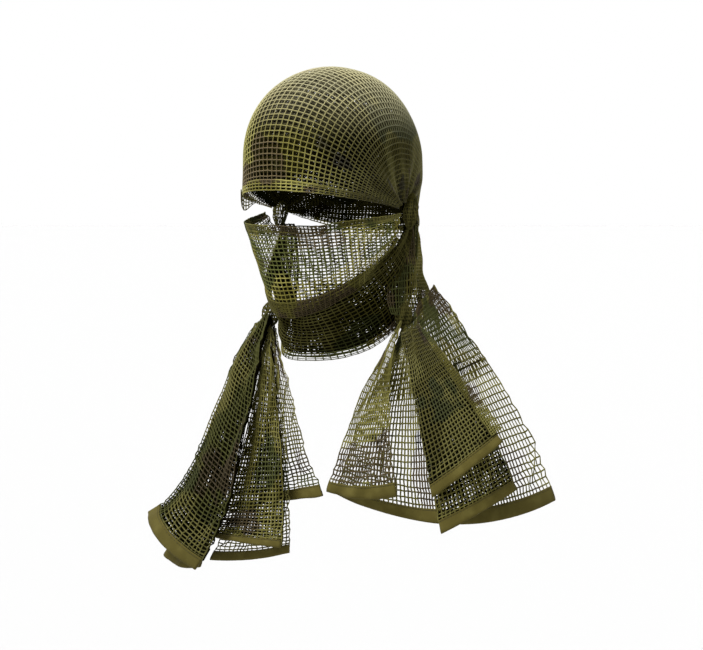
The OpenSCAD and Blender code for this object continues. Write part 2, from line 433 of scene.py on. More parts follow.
@dataclass(frozen=True)
class Veil:
    """The veil from ear to ear over the nose, mouth and chin.

    Attributes:
        front: How far it stands forward at the nose and at the chin.
        drop: Level of its top edge and of its chin fold at the front, below the ears.
        half: Half width at its top and bottom rows.
        back: Distance of its ends behind the head centre, top and bottom.
        ends: Level of its ends below the ears, top and bottom.
        lift: Distance of this net outside the veil's own surface.
    """

    front: tuple[float, float]
    drop: tuple[float, float]
    half: tuple[float, float] = (86 * MM, 72 * MM)
    back: tuple[float, float] = (6 * MM, 15 * MM)
    ends: tuple[float, float] = (9 * MM, 30 * MM)
    lift: float = 0.0

    def plain(self, u: np.ndarray, v: np.ndarray) -> np.ndarray:
        """The veil without its folds."""
        angle = np.radians(mix(-EAR_ANGLE, EAR_ANGLE, np.asarray(u, float)))
        v = np.asarray(v, float)
        bend = np.maximum(np.cos(angle), 0) ** 1.5
        front, drop = mix(*self.front, v), mix(*self.drop, v)
        back, ends = mix(*self.back, v), mix(*self.ends, v)
        half = mix(*self.half, v)
        # The top edge dips beside the nose.
        beside = np.exp(-(((np.degrees(angle) - 27) / 13) ** 2)) * (1 - v) ** 2
        level = -mix(ends, drop, np.cos(angle)) - 4 * MM * beside
        return rows_of(half * np.sin(angle), mix(back, -front, bend), level)

    def __call__(self, u: np.ndarray, v: np.ndarray) -> np.ndarray:
        """Points of the veil.

        Args:
            u: Places from the right ear to the left ear.
            v: Places from the top edge to the chin fold.

        Returns:
            Points in metres.
        """
        u, v = np.asarray(u, float), np.asarray(v, float)
        side = np.abs(u - 0.5) * 2
        v = v + 0.035 * side**2 * np.sin(math.tau * 2 * v)
        pull = np.sin(v * 21 + 1.5 * side) * 1.3 * MM * smooth(0.55, 0.95, side)
        slack = 0.5 * MM * ripple(u, v, 9) + self.lift
        return self.plain(u, v) + normals_of(self.plain, u, v) * -(pull + slack)[:, None]


@dataclass(frozen=True)
class Ring:
    """A turn of net round the neck or nape.

    Attributes:
        angles: Angles from the front at which it starts and ends, in degrees.
        back: Distance of its centre behind the head centre, top and bottom.
        wide: Half width, top and bottom.
        deep: Half depth, top and bottom.
        top: Level of its top edge at the front and at the sides.
        bottom: Level of its bottom edge at the front and at the sides.
        flare: How far its lower edge spreads.
        pleat: Height of its folds.
        rows: Folds from top to bottom.
        seed: Which unevenness to draw.
        lean: How far its rows lean, as a share of its height.
    """

    angles: tuple[float, float]
    back: tuple[float, float]
    wide: tuple[float, float]
    deep: tuple[float, float]
    top: tuple[float, float]
    bottom: tuple[float, float]
    flare: float = 0.0
    pleat: float = 1.0 * MM
    rows: float = 2.5
    seed: int = 5
    lean: float = 0.0

    def __call__(self, u: np.ndarray, v: np.ndarray) -> np.ndarray:
        """Points of the turn.

        Args:
            u: Places round it.
            v: Places from its top edge to its bottom edge.

        Returns:
            Points in metres.
        """
        u, v = np.asarray(u, float), np.asarray(v, float)
        v = v + self.lean * (u - 0.5) * 4 * np.clip(v, 0, 1) * (1 - np.clip(v, 0, 1))
        degrees = mix(self.angles[0], self.angles[1], u)
        angle = np.radians(degrees)
        front = np.maximum(np.cos(angle), 0)
        upper = mix(self.top[1], self.top[0], front)
        lower = mix(self.bottom[1], self.bottom[0], front**0.8)
        fold = self.pleat * (
            np.sin(math.tau * self.rows * v + 2.2 * u + self.seed) + 0.5 * ripple(u, v, self.seed)
        )
        spread = self.flare * v**2 + fold
        return rows_of(
            (mix(*self.wide, v) + spread) * np.sin(angle),
            mix(*self.back, v) - (mix(*self.deep, v) + spread) * np.cos(angle),
            mix(upper, lower, v),
        )


@dataclass(frozen=True)
class Collar:
    """The loose turn under the chin, whose rows sweep round the front and rise to the ears.

    Attributes:
        front: Level of its top and bottom rows at the front.
        ear: Level at which all the rows meet.
        ends: Angle from the front at which the top and bottom rows end, in degrees.
        round: How squarely the top and bottom rows turn up, 1 for a straight line.
        inset: How far this lay lies inside the outermost one.
        lean: How far its rows lean, as a share of its height.
        seed: Which unevenness to draw.
        part: Part of the turn that the lay covers.
        wide: Half width at the ears and at the bottom.
        deep: Half depth at the ears and at the bottom.
        back: Distance of its centre behind the head centre, at the ears and at the bottom.
    """

    front: tuple[float, float] = (-103 * MM, -155 * MM)
    ear: float = -22 * MM
    ends: tuple[float, float] = (90.0, 104.0)
    round: tuple[float, float] = (1.38, 2.5)
    inset: float = 0.0
    lean: float = 0.0
    seed: int = 4
    part: tuple[float, float] = (0.0, 1.0)
    wide: tuple[float, float] = (80.5 * MM, 66 * MM)
    deep: tuple[float, float] = (72 * MM, 75 * MM)
    back: tuple[float, float] = (22 * MM, 35 * MM)

    def __call__(self, u: np.ndarray, v: np.ndarray) -> np.ndarray:
        """Points of the turn.

        Args:
            u: Places from the right ear to the left ear.
            v: Places from its top row to its bottom row.

        Returns:
            Points in metres.
        """
        u, v = mix(*self.part, np.asarray(u, float)), np.asarray(v, float)
        inner = np.clip(v, 0, 1)
        v = v + self.lean * (u - 0.5) * 4 * inner * (1 - inner)
        side = np.abs(2 * u - 1)
        v = v + 0.03 * np.sin(math.tau * 2.5 * v) * side
        turn = np.clip(side, 0, 1) * math.pi / 2
        power = 2 / mix(*self.round, np.clip(v, 0, 1.1))
        angle = np.radians(mix(*self.ends, v)) * np.sin(turn) ** power * np.sign(u - 0.5)
        rise = np.cos(turn) ** power
        level = self.ear + (mix(*self.front, v) - self.ear) * rise
        depth = np.clip((self.ear - level) / (130 * MM), 0, 1.1)
        fold = 0.8 * MM * np.sin(math.tau * 3 * v + 2 * u + self.seed) + 0.5 * MM * ripple(u, v, self.seed)
        fold = fold - self.inset
        wide = mix(*self.wide, depth) + fold
        deep = mix(*self.deep, depth) + 4 * MM * np.sin(math.pi * depth) + fold
        return rows_of(wide * np.sin(angle), mix(*self.back, depth) - deep * np.cos(angle), level)


@dataclass(frozen=True)
class Bunch:
    """Net gathered into a bunch, drawn in at both ends.

    Attributes:
        centre: Its middle.
        radius: Its radius at the middle.
        height: Its length.
        folds: Folds round it.
        lean: How far its top leans back, in metres.
        depth: Depth of its folds, as a share of its radius.
        drawn: Share of its radius that the drawn-in net fills.
    """

    centre: Point
    radius: float
    height: float
    folds: int
    lean: float = 0.0
    depth: float = 0.27
    drawn: float = 0.72

    def __call__(self, u: np.ndarray, v: np.ndarray) -> np.ndarray:
        """Points of the bunch.

        Args:
            u: Places round it.
            v: Places from its top to its bottom.

        Returns:
            Points in metres.
        """
        u, v = np.asarray(u, float), np.asarray(v, float)
        angle = math.tau * u + 0.9 * (v - 0.5)
        waist = 0.14 + 0.86 * np.sin(math.pi * np.clip(v, 0, 1)) ** 0.75
        fold = 1 + self.depth * np.sin(self.folds * angle + 3 * v) + 0.06 * ripple(u, v, self.folds)
        radius = self.radius * waist * fold * self.drawn
        x, y, z = self.centre
        return rows_of(
            x + radius * np.cos(angle),
            y + radius * np.sin(angle) + self.lean * (0.5 - v),
            z + self.height * (0.5 - v),
        )


# ---------------------------------------------------------------- shader expressions


class Tree:
    """A material's node tree."""

    def __init__(self, name: str) -> None:
        """Makes a material with an empty node tree.

        Args:
            name: Name of the material.
        """
        self.material = bpy.data.materials.new(name)
        self.material.use_nodes = True
        self.nodes = self.material.node_tree.nodes
        self.links = self.material.node_tree.links
        self.nodes.clear()

    def node(
        self, kind: str, settings: dict[str, Any] | None = None, inputs: dict[Any, Any] | None = None
    ) -> bpy.types.Node:
        """Adds a node.

        Args:
            kind: Type of the node, without the ShaderNode prefix.
            settings: Its properties.
            inputs: Values or links of its sockets, by name or index.

        Returns:
            The node.
        """
        made = self.nodes.new("ShaderNode" + kind)
        for key, value in (settings or {}).items():
            setattr(made, key, value)
        for key, value in (inputs or {}).items():
            socket = made.inputs[key]
            if isinstance(value, Value):
                self.links.new(value.socket, socket)
            elif isinstance(value, bpy.types.NodeSocket):
                self.links.new(value, socket)
            elif socket.type == "RGBA" and len(value) == 3:
                socket.default_value = (*value, 1)
            else:
                socket.default_value = value
        return made

    def value(self, node: bpy.types.Node, output: Any = 0) -> "Value":
        """A node's output as a value for expressions."""
        return Value(self, node.outputs[output])

    def noise(self, vector: "Value", scale: float, detail: float = 2, rough: float = 0.5) -> "Value":
        """Noise from 0 to 1.

        Args:
            vector: Coordinates.
            scale: Features per metre.
            detail: Octaves.
            rough: Roughness of the octaves.

        Returns:
            The noise.
        """
        inputs = {"Vector": vector, "Scale": scale, "Detail": detail, "Roughness": rough}
        return self.value(self.node("TexNoise", inputs=inputs))

    def moved(self, vector: "Value", offset: Point) -> "Value":
        """Coordinates moved by an offset."""
        return self.value(self.node("VectorMath", {"operation": "ADD"}, {0: vector, 1: offset}))

    def flat_cloth(self) -> tuple["Value", "Value", "Value"]:
        """Place on the flat cloth.

        Returns:
            The place, and its parts along and across the scarf, in metres.
        """
        place = self.value(self.node("UVMap", {"uv_map": PRINT_MAP}), "UV")
        parts = self.node("SeparateXYZ", inputs={0: place})
        return place, self.value(parts, 0), self.value(parts, 1)

    def blend(self, share: "Value", low: Any, high: Any) -> bpy.types.NodeSocket:
        """Colour between two colours.

        Args:
            share: Share of the second colour.
            low: First colour or link.
            high: Second colour or link.

        Returns:
            The colour's socket.
        """
        made = self.node("Mix", {"data_type": "RGBA"}, {0: share, 6: low, 7: high})
        return made.outputs[2]

    def scale_colour(self, colour: bpy.types.NodeSocket, factor: "Value") -> bpy.types.NodeSocket:
        """Colour made lighter or darker by a factor."""
        made = self.node("VectorMath", {"operation": "SCALE"}, {0: colour, "Scale": factor})
        return made.outputs[0]


class Value:
    """A shader socket that is used in Python expressions."""

    def __init__(self, tree: Tree, socket: bpy.types.NodeSocket) -> None:
        """Wraps a socket.

        Args:
            tree: The tree it belongs to.
            socket: The output socket.
        """
        self.tree = tree
        self.socket = socket

    def _math(self, operation: str, *operands: Any) -> "Value":
        """Adds a Math node over operands."""
        inputs = {index: operand for index, operand in enumerate(operands)}
        return self.tree.value(self.tree.node("Math", {"operation": operation}, inputs))

    def __add__(self, other: Any) -> "Value":
        """Sum."""
        return self._math("ADD", self, other)

    __radd__ = __add__

    def __sub__(self, other: Any) -> "Value":
        """Difference."""
        return self._math("SUBTRACT", self, other)

    def __rsub__(self, other: Any) -> "Value":
        """Difference from a number."""
        return self._math("SUBTRACT", other, self)

    def __mul__(self, other: Any) -> "Value":
        """Product."""
        return self._math("MULTIPLY", self, other)

    __rmul__ = __mul__

    def sine(self) -> "Value":
        """Sine, in radians."""
        return self._math("SINE", self)

    def absolute(self) -> "Value":
        """Absolute value."""
        return self._math("ABSOLUTE", self)

    def wave(self, length: float) -> "Value":
        """Sine wave of a length, from 0 to 1."""
        return (self * (math.tau / length)).sine() * 0.5 + 0.5

    def step(self, low: float, high: float) -> "Value":
        """Smooth step between low and high."""
        made = self.tree.node(
            "MapRange", {"interpolation_type": "SMOOTHSTEP"}, {0: self, 1: low, 2: high}
        )
        return self.tree.value(made)


@dataclass(frozen=True)
class Finish:
    """Base of the scarf's finishes.

    Attributes:
        name: Name of the material.
        bump: Depth of the thread pattern, in metres.
        rough: Lowest and highest roughness.
        sheen: Weight of the soft sheen of the yarn.
        shine: Specular level.
    """

    name: str
    bump: float = 0.25 * MM
    rough: tuple[float, float] = (0.78, 0.96)
    sheen: float = 0.03
    shine: float = 0.12

    def close(
        self, tree: Tree, colour: bpy.types.NodeSocket, height: Value, rough: Value
    ) -> bpy.types.Material:
        """Ends a tree with its shader.

        Args:
            tree: The tree.
            colour: Base colour.
            height: Height of the thread pattern, 0 to 1.
            rough: Share of the roughness range.

        Returns:
            The material.
        """
        bump = tree.node("Bump", inputs={"Strength": 0.7, "Distance": self.bump, "Height": height})
        roughness = rough * (self.rough[1] - self.rough[0]) + self.rough[0]
        shader = tree.node(
            "BsdfPrincipled",
            inputs={
                "Base Color": colour,
                "Roughness": roughness,
                "Normal": bump.outputs[0],
                "Sheen Weight": self.sheen,
                "Sheen Roughness": 0.5,
                "Specular IOR Level": self.shine,
            },
        )
        tree.node("OutputMaterial", inputs={0: shader.outputs[0]})
        return tree.material


@dataclass(frozen=True)
class PrintedNet(Finish):
    """Knitted net printed with camouflage patches, in the flat cloth's own metres.

    Attributes:
        olive: Ground colour.
        light: Lighter yellow olive.
        green: Dark green patches.
        brown: Brown patches.
        black: Near black patches.
        shade: Overall lightness, which paints the light or shade that the lay gets.
        pale: Colour painted on the top of the head as painted light.
        bleach: How far the top of the head is painted pale, as painted light.
        dusk: How much darker the ear side is painted, as painted shade.
    """

    olive: Point = (0.088, 0.079, 0.0140)
    light: Point = (0.150, 0.138, 0.035)
    green: Point = (0.050, 0.055, 0.013)
    brown: Point = (0.060, 0.045, 0.019)
    black: Point = (0.013, 0.013, 0.007)
    shade: float = 1.0
    # Painted light and shade: the top of the head painted pale, the ear side painted darker.
    pale: Point = (0.42, 0.385, 0.23)
    bleach: float = 0.0
    dusk: float = 0.0

    def material(self) -> bpy.types.Material:
        """Builds the material.

        Returns:
            The material.
        """
        tree = Tree(self.name)
        place, along, across = tree.flat_cloth()
        warp = tree.noise(place, 22, 2)
        first = tree.noise(place, 8.5, 3, 0.55)
        second = tree.noise(tree.moved(place, (3.7, 1.9, 0)), 10, 3, 0.55)
        third = tree.noise(tree.moved(place, (9.2, 6.4, 0)), 12, 2, 0.5)
        colour = self.olive
        for patches, bend, low, high, tint in (
            (third, 0.2, 0.58, 0.66, self.light),
            (first, 0.12, 0.61, 0.65, self.green),
            (second, 0.12, 0.635, 0.665, self.brown),
            (1 - first, 0.12, 0.715, 0.735, self.black),
        ):
            colour = tree.blend((patches + bend * warp).step(low, high), colour, tint)
        twist = (along * 5200 + across * 4300).sine() * 0.5 + 0.5
        loops = (along * (math.tau / (1.8 * MM))).sine().absolute()
        fuzz = tree.noise(place, 1900, 2)
        fade = tree.noise(place, 60, 2)
        # The shade sets the finish's lightness, as painted light or painted shade for its lays.
        tone = (0.62 + 0.22 * twist + 0.12 * loops + 0.28 * fuzz + 0.3 * fade) * (self.shade * 0.9)
        # Painted light and shade: paler towards the top of the head, where the light falls, and darker on
        # the ear side, which it misses, less so near the top.
        if self.bleach or self.dusk:
            here = tree.node("SeparateXYZ", inputs={0: tree.value(tree.node("TexCoord"), "Object")})
            high = tree.value(here, 2).step(55 * MM, 135 * MM)
            side = tree.value(here, 0).step(20 * MM, 74 * MM)
            tone = tone * (1 - side * (1 - high * 0.8) * self.dusk)
            colour = tree.scale_colour(colour, tone)
            colour = tree.blend(high * self.bleach, colour, self.pale)
        else:
            colour = tree.scale_colour(colour, tone)
        height = 0.5 * twist + 0.3 * loops + 0.35 * fuzz
        return self.close(tree, colour, height, 0.5 * fuzz + 0.5 * fade)


@dataclass(frozen=True)
class WovenTape(Finish):
    """Plain woven binding tape with fine ribs across it.

    Attributes:
        colour: The tape's olive.
        worn: Its colour where it is rubbed.
        rib: Distance between ribs.
        weft: Distance between the threads along it.
    """

    colour: Point = (0.060, 0.049, 0.0085)
    worn: Point = (0.088, 0.075, 0.018)
    rib: float = 0.95 * MM
    weft: float = 0.62 * MM

    def material(self) -> bpy.types.Material:
        """Builds the material.

        Returns:
            The material.
        """
        tree = Tree(self.name)
        place, along, across = tree.flat_cloth()
        ribs = along.wave(self.rib)
        weft = across.wave(self.weft)
        weave = ribs * 0.6 + weft * 0.4
        cloud = tree.noise(place, 70, 3)
        fuzz = tree.noise(place, 1500, 2)
        worn = (cloud + 0.2 * ribs).step(0.55, 0.85)
        colour = tree.blend(worn * 0.6, self.colour, self.worn)
        colour = tree.scale_colour(colour, 0.72 + 0.22 * weave + 0.2 * fuzz + 0.24 * cloud)
        return self.close(tree, colour, weave * 0.8 + 0.3 * fuzz, fuzz)


@dataclass(frozen=True)
class Thread(Finish):
    """Sewing thread of the tape's stitches.

    Attributes:
        colour: The thread's colour.
    """

    colour: Point = (0.036, 0.032, 0.012)

    def material(self) -> bpy.types.Material:
        """Builds the material.

        Returns:
            The material.
        """
        tree = Tree(self.name)
        place = tree.value(tree.node("TexCoord"), "Object")
        fuzz = tree.noise(place, 2600, 2)
        colour = tree.blend(fuzz, self.colour, tuple(1.7 * c for c in self.colour))
        return self.close(tree, colour, fuzz, fuzz)


# ---------------------------------------------------------------- knitting


@dataclass(frozen=True)
class Knit:
    """Gauge of the net.

    Attributes:
        along: Mesh length along the scarf.
        across: Mesh width across the scarf.
        strand: Width of a strand.
        height: Thickness of a strand.
        fill: Most that half a strand may take of a mesh.
    """

    along: float = 7.2 * MM
    across: float = 4.9 * MM
    strand: float = 1.3 * MM
    height: float = 1.2 * MM
    fill: float = 0.27

    @property
    def cover(self) -> float:
        """Share of the flat net that its strands cover."""
        return 1 - (1 - self.strand / self.along) * (1 - self.strand / self.across)


GAUGE = Knit()
SQUARE_GAUGE = Knit(along=5.4 * MM, across=4.7 * MM, strand=1.45 * MM)
LONG_GAUGE = Knit(along=6.6 * MM, across=4.1 * MM, strand=1.6 * MM, fill=0.36)
NECK_GAUGE = Knit(along=6.2 * MM, across=4.3 * MM)
ROLL_GAUGE = Knit(along=4.5 * MM, across=6.6 * MM, strand=1.5 * MM, height=1.5 * MM)
CROWN_GAUGE = Knit(along=4.9 * MM, across=4.4 * MM, strand=1.2 * MM)
FOLD_GAUGE = Knit(along=5.4 * MM, across=2.3 * MM, strand=1.25 * MM, height=1.4 * MM)
THIN_GAUGE = Knit(along=4.2 * MM, across=3.4 * MM, strand=1.1 * MM)
LINING_GAUGE = Knit(along=4.4 * MM, across=2.9 * MM, strand=1.9 * MM, fill=0.36)
DENSE_GAUGE = Knit(along=5.4 * MM, across=3.4 * MM, strand=1.35 * MM, height=1.3 * MM)
BROW_GAUGE = Knit(along=4.9 * MM, across=4 * MM)
VEIL_EDGE_GAUGE = Knit(along=3.6 * MM, across=2.3 * MM, strand=1.45 * MM, height=1.7 * MM)
NECK_EDGE_GAUGE = Knit(along=6 * MM, across=3 * MM, strand=1.4 * MM)
FLAP_EDGE_GAUGE = Knit(along=3.4 * MM, across=2.2 * MM, strand=1.5 * MM, height=1.8 * MM)


@dataclass
class Net:
    """One lay of net, from its grid to its knitted piece.

    Attributes:
        name: Name of the piece.
        nodes: CAD nodes that it stands for.
        surface: The shape of the lay.
        flat: Flat size of the cloth across u and along v, in metres.
        run: Which way the scarf's long direction runs.
        place: Where the lay's corner lies on the flat scarf, in metres.
        gauge: Gauge of the net.
        span: Range of v that it covers.
        settle: Furthest that it may move as it settles, or 0.
        held: How the cloth is held; not used.
        finish: Name of the finish.
        slot: The frame's material slot; not used.
        cells: Meshes across and down.
        grid: The grid until it is knitted.
        order: Order of the grid's vertices by row and column.
        points: Crossings of the settled net, row by row.
    """

    name: str
    nodes: tuple[str, ...]
    surface: Surface
    flat: tuple[float, float]
    run: Run
    place: tuple[float, float]
    gauge: Knit = GAUGE
    span: tuple[float, float] = (0.0, 1.0)
    settle: float = 0.0
    held: str = "draped"
    finish: str = "net"
    slot: str = "net"
    cells: tuple[int, int] = field(init=False, default=(1, 1))
    grid: bpy.types.Object = field(init=False, default=None)
    order: np.ndarray = field(init=False, default=None)
    points: np.ndarray = field(init=False, default=None)

    def __post_init__(self) -> None:
        """Counts the meshes across and down the lay."""
        across, down = self.gauge.across, self.gauge.along
        if self.run is Run.ACROSS:
            across, down = down, across
        self.cells = (max(2, round(self.flat[0] / across)), max(2, round(self.flat[1] / down)))

    def make_grid(self) -> None:
        """Adds the primitive grid and gives it the shape of the lay."""
        across, down = self.cells
        bpy.ops.object.select_all(action="DESELECT")
        bpy.ops.mesh.primitive_grid_add(
            x_subdivisions=across, y_subdivisions=down, size=1, calc_uvs=False
        )
        self.grid = bpy.context.active_object
        self.grid.name = self.name + "_grid"
        mesh = self.grid.data
        flat = self.vertices()
        self.order = np.lexsort((np.round(flat[:, 0], 6), -np.round(flat[:, 1], 6)))
        u, v = flat[:, 0] + 0.5, 0.5 - flat[:, 1]
        mesh.vertices.foreach_set("co", self.surface(u, mix(*self.span, v)).ravel())
        mesh.update()
        if self.settle > 0:
            self.pin(u, v)

    def vertices(self) -> np.ndarray:
        """Places of the grid's vertices.

        Returns:
            One row for each vertex.
        """
        mesh = self.grid.data
        flat = np.empty(len(mesh.vertices) * 3)
        mesh.vertices.foreach_get("co", flat)
        return flat.reshape(-1, 3)

    def pin(self, u: np.ndarray, v: np.ndarray) -> None:
        """Adds the cloth modifier, held along the top and along the bound end.

        Args:
            u: Place of each vertex across the lay.
            v: Place of each vertex down the lay.
        """
        group = self.grid.vertex_groups.new(name="held")
        _, down = self.cells
        held = np.maximum(v < 1.5 / down, v > 1 - 1.5 / down).astype(float)
        sides = 0.3 * (np.minimum(u, 1 - u) < 0.02)
        for index, weight in enumerate(np.maximum(held, sides)):
            if weight > 0:
                group.add([index], float(weight), "REPLACE")
        cloth = self.grid.modifiers.new("settle", "CLOTH")
        cloth.settings.vertex_group_mass = group.name
        for key, value in CLOTH.items():
            setattr(cloth.settings, key, value)
        cloth.collision_settings.use_collision = False

    def take_shape(self) -> None:
        """Reads the settled grid, caps how far it has moved and removes it."""
        mesh = self.grid.data
        places = self.vertices()
        if self.settle > 0:
            select_only(self.grid)
            bpy.ops.object.modifier_apply(modifier="settle")
            step = self.vertices() - places
            far = np.linalg.norm(step, axis=1, keepdims=True)
            places = places + step * np.minimum(1, self.settle / np.maximum(far, 1e-9))
        across, down = self.cells
        self.points = places[self.order].reshape(down + 1, across + 1, 3)
        bpy.data.objects.remove(self.grid, do_unlink=True)
        bpy.data.meshes.remove(mesh)

    def directions(self) -> tuple[np.ndarray, np.ndarray, np.ndarray]:
        """Directions across, down and out of the net at each crossing.

        Returns:
            Three arrays of unit vectors.
        """
        across = unit(np.gradient(self.points, axis=1))
        down = unit(np.gradient(self.points, axis=0))
        return across, down, unit(np.cross(across, down))

    def knit(self) -> bpy.types.Object:
        """Turns each edge of the grid into a strand.

        Each crossing has a point on the front and on the back of the strands, each mesh has
        a point in each of its corners, and the outline has one point at each crossing.

        Returns:
            The piece.
        """
        points = self.points
        rows, cols = points.shape[:2]
        across, down, out = self.directions()
        draw = np.random.default_rng(len(self.name) * 7 + rows)
        wobble = draw.normal(0, 0.16 * MM, (rows, cols, 2))
        points = points + across * wobble[..., :1] + down * wobble[..., 1:]
        half_w, half_h = self.gauge.strand / 2, self.gauge.height / 2
        gap_u = np.linalg.norm(np.diff(points, axis=1), axis=2)
        gap_v = np.linalg.norm(np.diff(points, axis=0), axis=2)
        before, after, same = (1, 0), (0, 1), (0, 0)
        near_u = np.minimum(np.pad(gap_u, (same, before), "edge"), np.pad(gap_u, (same, after), "edge"))
        near_v = np.minimum(np.pad(gap_v, (before, same), "edge"), np.pad(gap_v, (after, same), "edge"))
        off_u = across * np.minimum(half_w, self.gauge.fill * near_u)[..., None]
        off_v = down * np.minimum(half_w, self.gauge.fill * near_v)[..., None]
        front, back = points + out * half_h, points - out * half_h
        corners = np.stack(
            [
                (points + off_u + off_v)[:-1, :-1],
                (points - off_u + off_v)[:-1, 1:],
                (points - off_u - off_v)[1:, 1:],
                (points + off_u - off_v)[1:, :-1],
            ],
            axis=2,
        )
        outline = points.copy()
        outline[0] -= off_v[0]
        outline[-1] += off_v[-1]
        outline[:, 0] -= off_u[:, 0]
        outline[:, -1] += off_u[:, -1]
        count = rows * cols
        parts = [part.reshape(-1, 3) for part in (front, back, corners, outline)]
        faces = self.faces(rows, cols, count, count * 2, count * 2 + len(parts[2]))
        return self.finish_mesh(np.concatenate(parts), faces, rows, cols, half_w)

    @staticmethod
    def faces(rows: int, cols: int, back: int, inner: int, rim: int) -> np.ndarray:
        """Faces of the strands.

        Args:
            rows: Crossings down.
            cols: Crossings across.
            back: Index of the first back point.
            inner: Index of the first mesh corner.
            rim: Index of the first outline point.

        Returns:
            Quads, one a row.
        """
        ident = np.arange(rows * cols).reshape(rows, cols)
        a, b = ident[:-1, :-1].ravel(), ident[:-1, 1:].ravel()
        c, d = ident[1:, 1:].ravel(), ident[1:, :-1].ravel()
        first = inner + 4 * np.arange(len(a))
        ring, hole = [a, b, c, d], [first, first + 1, first + 2, first + 3]
        quads = []
        for k in range(4):
            n = (k + 1) % 4
            quads.append(np.stack([ring[k], hole[k], hole[n], ring[n]], 1))
            quads.append(np.stack([ring[k] + back, ring[n] + back, hole[n], hole[k]], 1))
        border = np.concatenate(
            [ident[0, :], ident[1:, -1], ident[-1, -2::-1], ident[-2:0:-1, 0], ident[:1, 0]]
        )
        s, e = border[:-1], border[1:]
        quads.append(np.stack([s, e, e + rim, s + rim], 1))
        quads.append(np.stack([s + back, s + rim, e + rim, e + back], 1))
        return np.concatenate(quads)

    def finish_mesh(
        self, vertices: np.ndarray, faces: np.ndarray, rows: int, cols: int, half_w: float
    ) -> bpy.types.Object:
        """Makes the mesh of the piece and maps it in the flat cloth's metres.

        Args:
            vertices: Points of the strands.
            faces: Quads of the strands.
            rows: Crossings down.
            cols: Crossings across.
            half_w: Half the width of a strand.

        Returns:
            The piece.
        """
        v, u = np.meshgrid(np.linspace(0, 1, rows), np.linspace(0, 1, cols), indexing="ij")
        flat = np.stack([u * self.flat[0], v * self.flat[1]], -1)
        inside = np.array([[1, 1], [-1, 1], [-1, -1], [1, -1]]) * half_w
        meshes = np.stack([flat[:-1, :-1], flat[:-1, 1:], flat[1:, 1:], flat[1:, :-1]], 2) + inside
        places = [flat.reshape(-1, 2)] * 2 + [meshes.reshape(-1, 2), self.rim_places(flat, half_w)]
        used = np.zeros(len(vertices), bool)
        used[faces.ravel()] = True
        renumber = np.cumsum(used) - 1
        corner = np.concatenate(places)[faces.ravel()]
        if self.run is Run.DOWN:
            corner = corner[:, ::-1]
        piece = new_piece(self.name, vertices[used].tolist(), renumber[faces].tolist())
        add_maps(piece.data, corner, self.place)
        return piece

    @staticmethod
    def rim_places(flat: np.ndarray, half_w: float) -> np.ndarray:
        """Flat places of the outline's points.

        Args:
            flat: Flat places of the crossings.
            half_w: Half the width of a strand.

        Returns:
            One place for each crossing.
        """
        rim = flat.copy()
        rim[0, :, 1] -= half_w
        rim[-1, :, 1] += half_w
        rim[:, 0, 0] -= half_w
        rim[:, -1, 0] += half_w
        return rim.reshape(-1, 2)

    @property
    def yarn_area(self) -> float:
        """Area of one side of the flat net's strands, round as they are."""
        round_side = math.hypot(self.gauge.strand, self.gauge.height) / self.gauge.strand
        return self.flat[0] * self.flat[1] * min(1, self.gauge.cover * round_side)


# ---------------------------------------------------------------- binding tape


